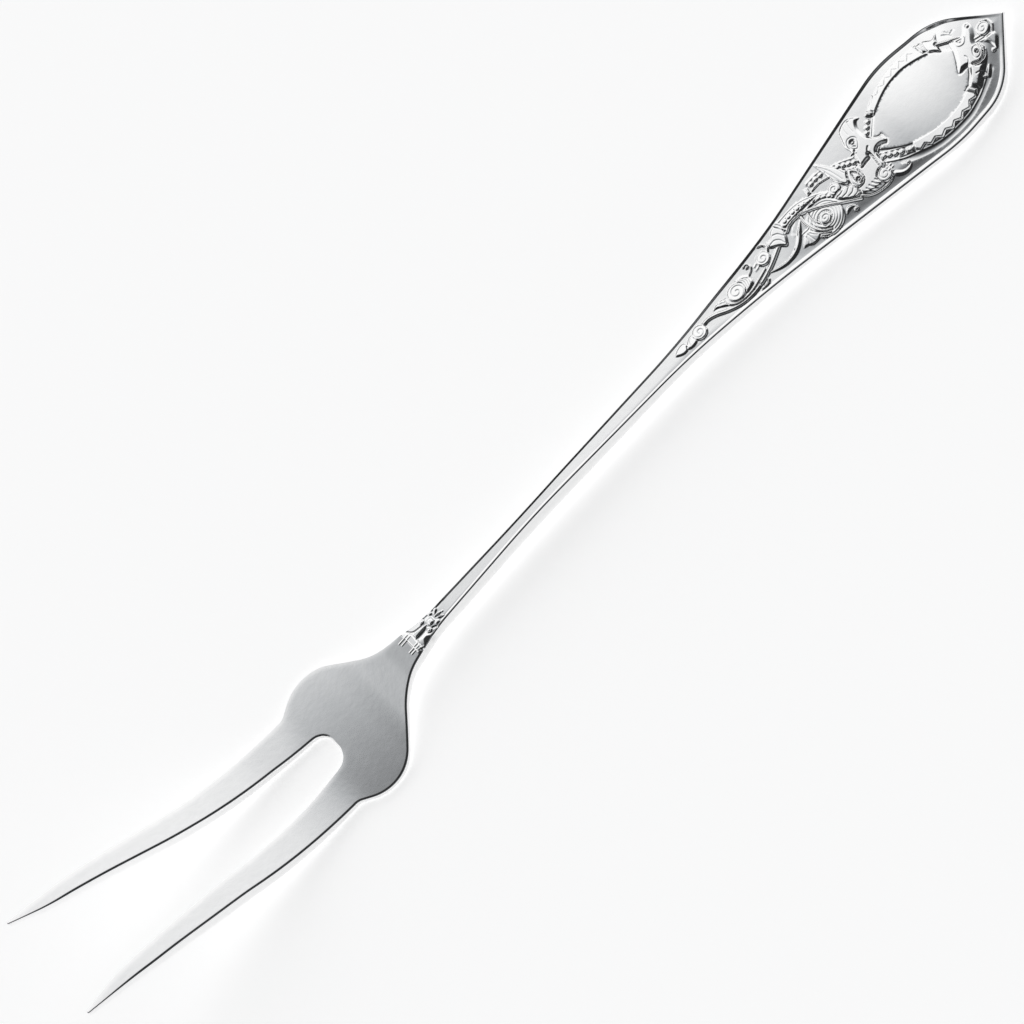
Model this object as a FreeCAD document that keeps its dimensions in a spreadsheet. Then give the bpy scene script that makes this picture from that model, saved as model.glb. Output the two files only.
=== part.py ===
import FreeCAD, Part
import math
import os
import Sketcher

# Serving fork in silver: two curved tines, a wide shoulder, a slim stem and a carved handle.
# X runs from the tines to the handle, +Z is the carved front, Y = 0 is the middle line.
# Z = 0 is the table: the fork lies on the back of its bowl and the heel of its handle.

Vector = FreeCAD.Vector
doc = FreeCAD.newDocument("ServingFork")

# Driving sizes in millimetres. A corner is where two straight runs would meet; the size that
# ends in _round is the radius that joins them.
SIZES = {
    # runs along the fork from its middle to the tines; the tine's outer corner and the slot's
    # mouth are measured back from the tine's tip
    "stem_reach": 27.6,
    "neck_top_run": 7.4,
    "neck_foot_run": 11.8,
    "bowl_run": 21.5,
    "tine_run": 31.2,
    "tine_tip_run": 13.0,
    "neck_flare_run": 10.6,
    "shoulder_run": 11.9,
    "shoulder_fall_run": 7.9,
    "tine_waist_run": 23.0,
    "tine_outer_run": 13.5,
    "slot_root_run": 3.9,
    "slot_neck_run": 11.0,
    "slot_mid_run": 19.0,
    "slot_mouth_run": 7.0,
    # runs along the fork from its middle to the handle's point; the heel's are measured back
    # from the point
    "waist_run": 44.0,
    "blade_run": 17.0,
    "stem_end_run": 34.4,
    "flare_run": 21.7,
    "blade_side_run": 35.5,
    "blade_corner_run": 11.6,
    "point_run": 9.3,
    "heel_start_run": 12.5,
    "heel_run": 10.5,
    # side view, front surface: heights and radii
    "plate_thick": 1.4,
    "tine_rise": 16.3,
    "tine_tip_rise": 4.5,
    "tine_bend_round": 105.0,
    "bowl_bend_round": 54.0,
    "neck_foot_round": 12.0,
    "neck_rise": 3.9,
    "neck_top_round": 15.0,
    "crest_rise": 0.65,
    "crest_round": 300.0,
    "waist_lift": 4.45,
    "waist_round": 150.0,
    "blade_lift": 3.28,
    "blade_round": 150.0,
    "heel_start_lift": 3.0,
    "heel_start_round": 60.0,
    "heel_thick": 1.5,
    "heel_round": 40.0,
    "handle_tip_rise": 1.3,
    # side view, back surface
    "tine_tip_thick": 1.3,
    "tine_thick": 2.5,
    "tine_swell": 3.5,
    "back_bowl_round": 48.0,
    "neck_back_shift": 1.4,
    "neck_thick": 2.45,
    "neck_back_round": 10.0,
    "stem_back_run": 5.6,
    "stem_thick": 3.1,
    "stem_back_round": 40.0,
    "waist_thick": 2.25,
    "waist_back_round": 200.0,
    "heel_start_thick": 1.45,
    "rest_before": 3.0,
    "rest_after": 2.2,
    "heel_back_round": 30.0,
    "rest_round": 8.0,
    "handle_tip_thick": 1.4,
    "handle_point_round": 0.4,
    # plan view, half widths from the middle line, and radii
    "slot_root_half": 3.4,
    "slot_root_round": 2.9,
    "slot_neck_half": 4.75,
    "slot_neck_round": 30.0,
    "slot_mid_half": 6.15,
    "slot_mid_round": 80.0,
    "slot_mouth_tine": 2.65,
    "slot_mouth_round": 30.0,
    "tine_point_offset": 0.1,
    "tine_point_width": 0.65,
    "tine_point_round": 0.25,
    "tine_outer_half": 11.75,
    "tine_outer_round": 60.0,
    "tine_waist_half": 10.75,
    "tine_waist_round": 60.0,
    "shoulder_foot_half": 10.88,
    "shoulder_foot_round": 2.2,
    "shoulder_half": 15.74,
    "shoulder_round": 8.3,
    "neck_flare_half": 3.92,
    "neck_flare_round": 14.0,
    "neck_end_half": 1.68,
    "neck_end_round": 30.0,
    "stem_waist_shift": 4.0,
    "stem_waist_half": 1.12,
    "stem_waist_round": 300.0,
    "stem_end_half": 1.88,
    "stem_end_round": 150.0,
    "flare_half": 4.35,
    "flare_round": 200.0,
    "blade_side_half": 11.15,
    "blade_side_round": 26.0,
    "blade_corner_inset": 1.15,
    "blade_corner_round": 11.5,
    "trim_margin": 4.0,
    # the stem's rounded back, fading out into the two plates
    "round_start_run": 5.4,
    "round_end_run": 13.6,
    "stem_edge_round": 0.95,
    "fade_round": 0.1,
    # sunk field of the handle's front
    "field_start_shift": 3.6,
    "field_depth": 0.45,
    "rim_width": 0.75,
    "stem_rim_width": 0.42,
    "point_rim": 1.15,
    # carving: a step of its drawing, heights above the sunk field, depth of its roots
    "carving_step": 1.0,
    "carving_low": 0.2,
    "carving_middle": 0.4,
    "carving_high": 0.62,
    "carving_root": 0.3,
    "carving_clear": 0.12,
    "neck_carving": 0.25,
    "bead_round": 0.42,
    "line_fit": 0.07,
}

# Stations along the fork, as named runs to add up. Those of the tines start at the stem's end.
NECK_END = ("-stem_reach",)
NECK_TOP = NECK_END + ("-neck_top_run",)
NECK_FOOT = NECK_TOP + ("-neck_foot_run",)
BOWL_BEND = NECK_FOOT + ("-bowl_run",)
TINE_BEND = BOWL_BEND + ("-tine_run",)
TINE_TIP = TINE_BEND + ("-tine_tip_run",)
NECK_FLARE = NECK_END + ("-neck_flare_run",)
SHOULDER = NECK_FLARE + ("-shoulder_run",)
SHOULDER_FOOT = SHOULDER + ("-shoulder_fall_run",)
TINE_WAIST = SHOULDER_FOOT + ("-tine_waist_run",)
TINE_OUTER = TINE_TIP + ("tine_outer_run",)
SLOT_ROOT = SHOULDER + ("-slot_root_run",)
SLOT_NECK = SLOT_ROOT + ("-slot_neck_run",)
SLOT_MID = SLOT_NECK + ("-slot_mid_run",)
SLOT_MOUTH = TINE_TIP + ("slot_mouth_run",)
STEM_BACK = NECK_END + ("stem_back_run",)
ROUND_START = NECK_END + ("-round_start_run",)
FIELD_START = NECK_END + ("field_start_shift",)
STEM_WAIST = ("-stem_waist_shift",)

# Stations of the handle.
WAIST = ("waist_run",)
BLADE = WAIST + ("blade_run",)
STEM_END = ("stem_end_run",)
ROUND_END = STEM_END + ("round_end_run",)
FLARE = STEM_END + ("flare_run",)
BLADE_SIDE = FLARE + ("blade_side_run",)
BLADE_CORNER = BLADE_SIDE + ("blade_corner_run",)
HANDLE_TIP = BLADE_CORNER + ("point_run",)
HEEL = HANDLE_TIP + ("-heel_run",)
HEEL_START = HEEL + ("-heel_start_run",)

# Heights that several places share.
NECK_LIFT = ("plate_thick", "neck_rise")
BEND_LIFT = ("plate_thick", "tine_rise")
TIP_LIFT = BEND_LIFT + ("tine_tip_rise",)
HANDLE_TIP_LIFT = ("heel_thick", "handle_tip_rise")

# The carving is drawn with the handle's point and the neck's end at these places.
DRAWN_POINT = 112.5
DRAWN_NECK = -27.6
# Runs that make up a bead, an eye or a small ring, and one turn of a spiral.
ROUND_SIDES = 8
# How much of its radius and of its width a spiral loses on its way in.
SPIRAL_CLOSING = 0.75
SPIRAL_TAPER = 0.4

sheet = doc.addObject("Spreadsheet::Sheet", "Sizes")
for row, (alias, value) in enumerate(SIZES.items(), start=1):
    sheet.set(f"A{row}", alias)
    sheet.set(f"B{row}", str(value))
    sheet.setAlias(f"B{row}", alias)
doc.recompute()


def size(name):
    return float(sheet.get(name))


def place(*terms):
    """The sum of named sizes as (value, expression); a name after a minus is taken away."""
    value = 0.0
    words = []
    for term in terms:
        if term.startswith("-"):
            value -= size(term[1:])
            words.append("- Sizes." + term[1:])
        else:
            value += size(term)
            words.append("+ Sizes." + term)
    return value, " ".join(words)


def at_station(station):
    return place(*station)[0]


def origin_plane(body, role):
    return [plane for plane in body.Origin.OriginFeatures if plane.Role == role][0]


def new_sketch(body, name, role):
    sketch = body.newObject("Sketcher::SketchObject", name)
    sketch.AttachmentSupport = [(origin_plane(body, role), "")]
    sketch.MapMode = "FlatFace"
    return sketch


def rounding(before, corner, after, radius):
    """Where a radius leaves the two runs at a corner: (start, end, centre, turns left)."""
    back = (before - corner).normalize()
    ahead = (after - corner).normalize()
    half_turn = (math.pi - back.getAngle(ahead)) / 2
    reach = radius * math.tan(half_turn)
    start = corner + back * reach
    end = corner + ahead * reach
    middle = (back + ahead).normalize()
    centre = corner + middle * (radius / math.cos(half_turn))
    return start, end, centre, back.cross(ahead).z < 0


def corner_arc(joint, radius):
    """The arc of one rounded corner, drawn anticlockwise as a sketch wants it."""
    start, end, centre, left = joint
    first, last = (start, end) if left else (end, start)
    begin, finish = [math.atan2(p.y - centre.y, p.x - centre.x) for p in (first, last)]
    if finish < begin:
        finish += 2 * math.pi
    return Part.ArcOfCircle(Part.Circle(centre, Vector(0, 0, 1), radius), begin, finish)


def rounded_outline(sketch, corners):
    """A closed outline of straight runs joined by tangent arcs.

    Each corner is (name, across, up, radius name or None): across and up come from place()
    and become driven distances. The point of a rounded corner is a construction point.
    """
    count = len(corners)
    points = [Vector(across[0], up[0], 0) for _, across, up, _ in corners]
    joints = []
    for i in range(count):
        if corners[i][3]:
            radius = size(corners[i][3])
            joints.append(rounding(points[i - 1], points[i], points[(i + 1) % count], radius))
        else:
            joints.append((points[i], points[i], None, True))
    lines = []
    for i in range(count):
        run = Part.LineSegment(joints[i][1], joints[(i + 1) % count][0])
        lines.append(sketch.addGeometry(run))
    rules = []
    driven = []
    for i in range(count):
        name, across, up, round_name = corners[i]
        run_in = lines[i - 1]
        run_out = lines[i]
        if round_name:
            arc = sketch.addGeometry(corner_arc(joints[i], size(round_name)))
            corner = sketch.addGeometry(Part.Point(points[i]), True)
            enter, leave = (1, 2) if joints[i][3] else (2, 1)
            rules.append(Sketcher.Constraint("Tangent", run_in, 2, arc, enter))
            rules.append(Sketcher.Constraint("Tangent", arc, leave, run_out, 1))
            rules.append(Sketcher.Constraint("PointOnObject", corner, 1, run_in))
            rules.append(Sketcher.Constraint("PointOnObject", corner, 1, run_out))
            radius_rule = Sketcher.Constraint("Radius", arc, size(round_name))
            driven.append((name + "_round", radius_rule, "Sizes." + round_name))
        else:
            corner = run_out
            rules.append(Sketcher.Constraint("Coincident", run_in, 2, run_out, 1))
        for kind, (value, expression), axis in (("DistanceX", across, -2), ("DistanceY", up, -1)):
            if expression:
                rule = Sketcher.Constraint(kind, -1, 1, corner, 1, value)
                driven.append((name + "_" + kind, rule, expression))
            else:
                rules.append(Sketcher.Constraint("PointOnObject", corner, 1, axis))
    sketch.addConstraint(rules + [rule for _, rule, _ in driven])
    for index, (name, _, expression) in enumerate(driven, start=len(rules)):
        sketch.renameConstraint(index, name)
        sketch.setExpression("Constraints." + name, expression)


ZERO = (0.0, "")

# The side view: front surface from the tines to the handle, then the back surface home.
SIDE = [
    ("tine_tip", place(*TINE_TIP), place(*TIP_LIFT), "tine_point_round"),
    ("tine_bend", place(*TINE_BEND), place(*BEND_LIFT), "tine_bend_round"),
    ("bowl_bend", place(*BOWL_BEND), place("plate_thick"), "bowl_bend_round"),
    ("neck_foot", place(*NECK_FOOT), place("plate_thick"), "neck_foot_round"),
    ("neck_top", place(*NECK_TOP), place(*NECK_LIFT), "neck_top_round"),
    ("crest", ZERO, place(*NECK_LIFT, "crest_rise"), "crest_round"),
    ("waist", place(*WAIST), place("waist_lift"), "waist_round"),
    ("blade", place(*BLADE), place("blade_lift"), "blade_round"),
    ("heel_start", place(*HEEL_START), place("heel_start_lift"), "heel_start_round"),
    ("heel", place(*HEEL), place("heel_thick"), "heel_round"),
    ("handle_tip", place(*HANDLE_TIP), place(*HANDLE_TIP_LIFT), "handle_point_round"),
    ("back_tip", place(*HANDLE_TIP), place(*HANDLE_TIP_LIFT, "-handle_tip_thick"),
     "handle_point_round"),
    ("rest_end", place(*HEEL, "rest_after"), ZERO, "rest_round"),
    ("rest_start", place(*HEEL, "-rest_before"), ZERO, "rest_round"),
    ("back_heel", place(*HEEL_START), place("heel_start_lift", "-heel_start_thick"),
     "heel_back_round"),
    ("back_waist", place(*WAIST), place("waist_lift", "-waist_thick"), "waist_back_round"),
    ("back_stem", place(*STEM_BACK), place(*NECK_LIFT, "-stem_thick"), "stem_back_round"),
    ("back_neck", place(*NECK_TOP, "-neck_back_shift"), place(*NECK_LIFT, "-neck_thick"),
     "neck_back_round"),
    ("back_foot", place(*NECK_FOOT, "-neck_back_shift"), ZERO, "neck_back_round"),
    ("back_bowl", place(*BOWL_BEND, "-tine_swell"), ZERO, "back_bowl_round"),
    ("back_tine", place(*TINE_BEND), place(*BEND_LIFT, "-tine_thick"), "tine_bend_round"),
    ("back_tine_tip", place(*TINE_TIP), place(*TIP_LIFT, "-tine_tip_thick"), "tine_point_round"),
]

# Half of the plan view, from the root of the slot round a tine and up to the handle's point.
HALF_PLAN = [
    ("slot_root", SLOT_ROOT, ("slot_root_half",)),
    ("slot_neck", SLOT_NECK, ("slot_neck_half",)),
    ("slot_mid", SLOT_MID, ("slot_mid_half",)),
    ("slot_mouth", SLOT_MOUTH, ("tine_outer_half", "-slot_mouth_tine")),
    ("point_inner", TINE_TIP, ("tine_outer_half", "tine_point_offset", "-tine_point_width")),
    ("point_outer", TINE_TIP, ("tine_outer_half", "tine_point_offset")),
    ("tine_outer", TINE_OUTER, ("tine_outer_half",)),
    ("tine_waist", TINE_WAIST, ("tine_waist_half",)),
    ("shoulder_foot", SHOULDER_FOOT, ("shoulder_foot_half",)),
    ("shoulder", SHOULDER, ("shoulder_half",)),
    ("neck_flare", NECK_FLARE, ("neck_flare_half",)),
    ("neck_end", NECK_END, ("neck_end_half",)),
    ("stem_waist", STEM_WAIST, ("stem_waist_half",)),
    ("stem_end", STEM_END, ("stem_end_half",)),
    ("flare", FLARE, ("flare_half",)),
    ("blade_side", BLADE_SIDE, ("blade_side_half",)),
    ("blade_corner", BLADE_CORNER, ("blade_side_half", "-blade_corner_inset")),
]


def half_plan():
    """Half of the plan outline, closed along the middle line."""
    corners = [("slot_middle", place(*SLOT_ROOT), ZERO, None)]
    for name, across, out in HALF_PLAN:
        radius = "tine_point_round" if name.startswith("point") else name + "_round"
        corners.append((name, place(*across), place(*out), radius))
    corners.append(("handle_point", place(*HANDLE_TIP), ZERO, None))
    return corners


def make_blank():
    """The plain fork: half of its side view as a strip, trimmed in plan, and its mirror."""
    body = doc.addObject("PartDesign::Body", "HalfBlank")
    side = new_sketch(body, "SideView", "XZ_Plane")
    rounded_outline(side, SIDE)
    strip = body.newObject("PartDesign::Pad", "Strip")
    strip.Profile = side
    strip.Reversed = True
    strip.setExpression("Length", "Sizes.shoulder_half")
    doc.recompute()
    plan = new_sketch(body, "PlanView", "XY_Plane")
    rounded_outline(plan, half_plan())
    margin = size("trim_margin")
    left = at_station(TINE_TIP) - margin
    right = at_station(HANDLE_TIP) + margin
    far = size("shoulder_half") + margin
    frame = [Vector(left, -margin, 0), Vector(right, -margin, 0), Vector(right, far, 0),
             Vector(left, far, 0)]
    for i in range(4):
        plan.addGeometry(Part.LineSegment(frame[i], frame[(i + 1) % 4]))
    trim = body.newObject("PartDesign::Pocket", "Trim")
    trim.Profile = plan
    trim.Type = "ThroughAll"
    trim.SideType = "Symmetric"
    doc.recompute()
    mirror = doc.addObject("Part::Mirroring", "OtherHalf")
    mirror.Source = body
    mirror.Normal = Vector(0, 1, 0)
    whole = doc.addObject("Part::Fuse", "Blank")
    whole.Base = body
    whole.Tool = mirror
    whole.Refine = True
    doc.recompute()
    return whole


def back_radius(x):
    """The radius of the stem's back edges: full along the stem, next to nothing at its ends."""
    full = size("stem_edge_round")
    fade = size("fade_round")
    stations = [(at_station(ROUND_START), fade), (at_station(NECK_END), full),
                (at_station(STEM_END), full), (at_station(ROUND_END), fade)]
    for (x0, r0), (x1, r1) in zip(stations, stations[1:]):
        if x <= x1:
            return max(fade, r0 + (r1 - r0) * (x - x0) / (x1 - x0))
    return fade


def facing(face):
    """Which way a face of the blank looks: wall, back or front."""
    u0, u1, v0, v1 = face.ParameterRange
    up = face.normalAt((u0 + u1) / 2, (v0 + v1) / 2).z
    if abs(up) < 0.001:
        return "wall"
    return "front" if up > 0 else "back"


def round_stem(whole):
    """Round the edges where the stem's back meets its walls; the plates keep plain edges."""
    start = place(*ROUND_START)[1]
    span = doc.addObject("Part::Box", "StemSpan")
    span.setExpression("Length", place(*ROUND_END)[1] + " - (" + start + ")")
    span.setExpression("Width", "2 * Sizes.shoulder_half")
    span.setExpression("Height", place(*TIP_LIFT)[1])
    span.setExpression(".Placement.Base.x", start)
    span.setExpression(".Placement.Base.y", "-Sizes.shoulder_half")
    stem = doc.addObject("Part::Common", "Stem")
    stem.Base = whole
    stem.Tool = span
    plates = doc.addObject("Part::Cut", "Plates")
    plates.Base = whole
    plates.Tool = span
    doc.recompute()
    faces = stem.Shape.Faces
    looks = [facing(face) for face in faces]
    rounds = []
    for number, edge in enumerate(stem.Shape.Edges, start=1):
        beside = [looks[i] for i, face in enumerate(faces) if any(edge.isSame(e) for e in face.Edges)]
        along = abs(edge.Vertexes[0].Point.x - edge.Vertexes[-1].Point.x)
        if sorted(beside) == ["back", "wall"] and along > 0.001:
            ends = [back_radius(vertex.Point.x) for vertex in edge.Vertexes]
            rounds.append((number, ends[0], ends[-1]))
    fillet = doc.addObject("Part::Fillet", "RoundedStem")
    fillet.Base = stem
    fillet.Edges = rounds
    joined = doc.addObject("Part::Fuse", "RoundedBlank")
    joined.Base = plates
    joined.Tool = fillet
    joined.Refine = True
    doc.recompute()
    return joined


def rounded_wire(corners, closed=True):
    """Straight runs joined by tangent arcs; each corner is (x, y, radius)."""
    points = [Vector(x, y, 0) for x, y, _ in corners]
    count = len(points)
    joints = []
    for i, (_, _, radius) in enumerate(corners):
        inner = closed or 0 < i < count - 1
        if radius and inner:
            joints.append(rounding(points[i - 1], points[i], points[(i + 1) % count], radius))
        else:
            joints.append((points[i], points[i], None, True))
    edges = []
    for i in range(count):
        if joints[i][2]:
            edges.append(corner_arc(joints[i], corners[i][2]).toShape())
        if closed or i < count - 1:
            ahead = joints[(i + 1) % count][0]
            edges.append(Part.LineSegment(joints[i][1], ahead).toShape())
    return edges


def front_line(drop):
    """The handle's front surface in side view, moved up or down, as edges in the XZ plane."""
    names = ["neck_top", "crest", "waist", "blade", "heel_start", "heel", "handle_tip"]
    sizes = {name: (across[0], up[0], round_name) for name, across, up, round_name in SIDE}
    corners = []
    for name in names:
        x, z, round_name = sizes[name]
        corners.append((x, z + drop, size(round_name)))
    return rounded_wire(corners, closed=False)


def handle_layer(low, high):
    """The solid between two heights that both follow the handle's front surface."""
    lower = front_line(low)
    upper = front_line(high)
    ends = [Part.LineSegment(lower[k].Vertexes[k].Point, upper[k].Vertexes[k].Point).toShape()
            for k in (0, -1)]
    wire = Part.Wire(Part.__sortEdges__(lower + upper + ends))
    face = Part.Face(wire)
    half = size("blade_side_half") + size("trim_margin")
    face.rotate(Vector(0, 0, 0), Vector(1, 0, 0), 90)
    face.translate(Vector(0, half, 0))
    return face.extrude(Vector(0, -2 * half, 0))


def field_outline(clear=0.0):
    """The sunk field's outline in plan: the handle's own outline less the rim and a clearance."""
    rim = size("rim_width") + clear
    stem_rim = size("stem_rim_width") + clear
    upper = [
        (at_station(FIELD_START), size("stem_waist_half") - stem_rim, 0),
        (at_station(STEM_WAIST), size("stem_waist_half") - stem_rim, size("stem_waist_round")),
        (at_station(STEM_END), size("stem_end_half") - stem_rim, size("stem_end_round")),
        (at_station(FLARE), size("flare_half") - rim, size("flare_round")),
        (at_station(BLADE_SIDE), size("blade_side_half") - rim, size("blade_side_round")),
        (at_station(BLADE_CORNER) - rim / 2,
         size("blade_side_half") - size("blade_corner_inset") - rim, size("blade_corner_round")),
        (at_station(HANDLE_TIP) - size("point_rim") - 2 * clear, 0, 0),
    ]
    lower = [(x, -y, radius) for x, y, radius in upper[-2::-1]]
    return rounded_wire(upper + lower)


def prism(edges):
    """A tall solid on a closed outline in plan."""
    face = Part.Face(Part.Wire(Part.__sortEdges__(edges)))
    return face.extrude(Vector(0, 0, at_station(TIP_LIFT)))


def make_field():
    """The space above the sunk field between the rims."""
    depth = size("field_depth")
    return prism(field_outline()).common(handle_layer(-depth, at_station(TIP_LIFT)))


def at(x, y):
    """A point of the carving's drawing in plan, which keeps its place from the handle's point."""
    step = size("carving_step")
    return Vector(at_station(HANDLE_TIP) + (x - DRAWN_POINT) * step, y * step, 0)


def outline_face(spots):
    return Part.Face(Part.makePolygon(spots + spots[:1]))


def smooth_line(spots):
    """A smooth line through points, as the short runs a graver would cut."""
    curve = Part.BSplineCurve()
    curve.interpolate(spots)
    return curve.toShape().discretize(Deflection=size("line_fit"))


def leaf(*points):
    """A smooth outline that starts and ends in a point."""
    spots = [at(x, y) for x, y in points]
    return outline_face(smooth_line(spots + spots[:1])[:-1])


def block(*points):
    """A straight-edged outline."""
    return outline_face([at(x, y) for x, y in points])


def band(spots, widths):
    """A band along a smooth line with its full width given at each point."""
    line = Part.BSplineCurve()
    line.interpolate(spots)
    left = []
    right = []
    for spot, width in zip(spots, widths):
        tangent = line.tangent(line.parameter(spot))[0]
        side = Vector(-tangent.y, tangent.x, 0) * (width * size("carving_step") / 2)
        left.append(spot + side)
        right.insert(0, spot - side)
    return outline_face(smooth_line(left) + smooth_line(right))


def ribbon(width, *points):
    return band([at(x, y) for x, y in points], [width] * len(points))


def spiral(x, y, radius, turns, start, width):
    """A band that winds inwards from a start angle in degrees; negative turns go clockwise."""
    steps = 2 + round(abs(turns) * ROUND_SIDES)
    spots = []
    widths = []
    for i in range(steps + 1):
        share = i / steps
        angle = math.radians(start + 360 * turns * share)
        reach = (radius - width / 2) * (1 - SPIRAL_CLOSING * share)
        spots.append(at(x + reach * math.cos(angle), y + reach * math.sin(angle)))
        widths.append(width * (1 - SPIRAL_TAPER * share))
    return band(spots, widths)


def round_points(x, y, radius):
    """A small circle as short runs."""
    turns = [2 * math.pi * i / ROUND_SIDES for i in range(ROUND_SIDES)]
    return [at(x + radius * math.cos(turn), y + radius * math.sin(turn)) for turn in turns]


def disc(x, y, radius):
    return outline_face(round_points(x, y, radius))


def ring(x, y, radius, width):
    return disc(x, y, radius).cut(disc(x, y, radius - width)).Faces[0]


def beads(first, last, count):
    """A straight row of round beads, as discs."""
    radius = size("bead_round") / size("carving_step")
    row = []
    for i in range(count):
        share = i / max(count - 1, 1)
        x = first[0] + (last[0] - first[0]) * share
        y = first[1] + (last[1] - first[1]) * share
        row.append(disc(x, y, radius))
    return row


def teeth(count, low, tall, *points):
    """A band whose outer edge is a row of teeth, along a smooth inner line."""
    line = Part.BSplineCurve()
    line.interpolate([at(x, y) for x, y in points])
    inner = []
    outer = []
    for i in range(2 * count + 1):
        along = line.FirstParameter + (line.LastParameter - line.FirstParameter) * i / (2 * count)
        spot = line.value(along)
        tangent = line.tangent(along)[0]
        reach = (tall if i % 2 else low) * size("carving_step")
        inner.append(spot)
        outer.insert(0, spot + Vector(-tangent.y, tangent.x, 0) * reach)
    return outline_face(inner + outer)


def raised(faces, zone):
    """Flat outlines in plan merged and raised through a zone of the handle or neck."""
    merged = faces[0].fuse(faces[1:]).removeSplitter()
    tall = merged.extrude(Vector(0, 0, at_station(TIP_LIFT)))
    return tall.common(zone)


def handle_zone(height):
    """Where carving may stand on the sunk field, up to a height above it."""
    floor = -size("field_depth")
    layer = handle_layer(floor - size("carving_root"), floor + height)
    return prism(field_outline(size("carving_clear"))).common(layer)


# Lowest level: the smooth panel, the leaves and plumes that other parts cross.
LOW = [
    leaf((81.2, 0.5), (85.2, 4.7), (90, 6.8), (94, 7.25), (98, 6.4), (101, 4.3), (102.4, 1.5),
         (101.9, -1.7), (99, -4.9), (96, -5.9), (93, -6.2), (90, -5.8), (85, -3.9)),
    leaf((71.9, 7.0), (73.9, 4.3), (75.7, 1.3), (74.6, -0.2), (73.4, -0.6), (72.7, 1.2), (72.6, 3.6)),
    leaf((75.0, -2.8), (75.4, -5.0), (78, -6.2), (80.5, -6.0), (81.2, -4.2), (81.0, -2.2),
         (81.2, -1.0), (80.2, -0.2), (78.5, -0.5), (77.2, -1.5)),
    leaf((107.0, -0.6), (108.9, -0.7), (109.0, -2.2), (107.3, -3.6), (107.5, -2.0)),
    leaf((103.2, -5.1), (105.4, -3.6), (104.1, -5.9)),
    leaf((48.9, -0.7), (49.2, 1.4), (50.6, 2.3), (51.5, 1.0), (50.8, -0.6)),
    leaf((63.2, -1.2), (62.0, -2.2), (62.4, -3.6), (63.6, -3.9), (64.9, -3.6), (64.5, -2.0)),
    leaf((42.6, 0.9), (44.0, 1.6), (45.5, 1.2), (45.9, -0.3), (44.5, 0.2)),
]

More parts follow.
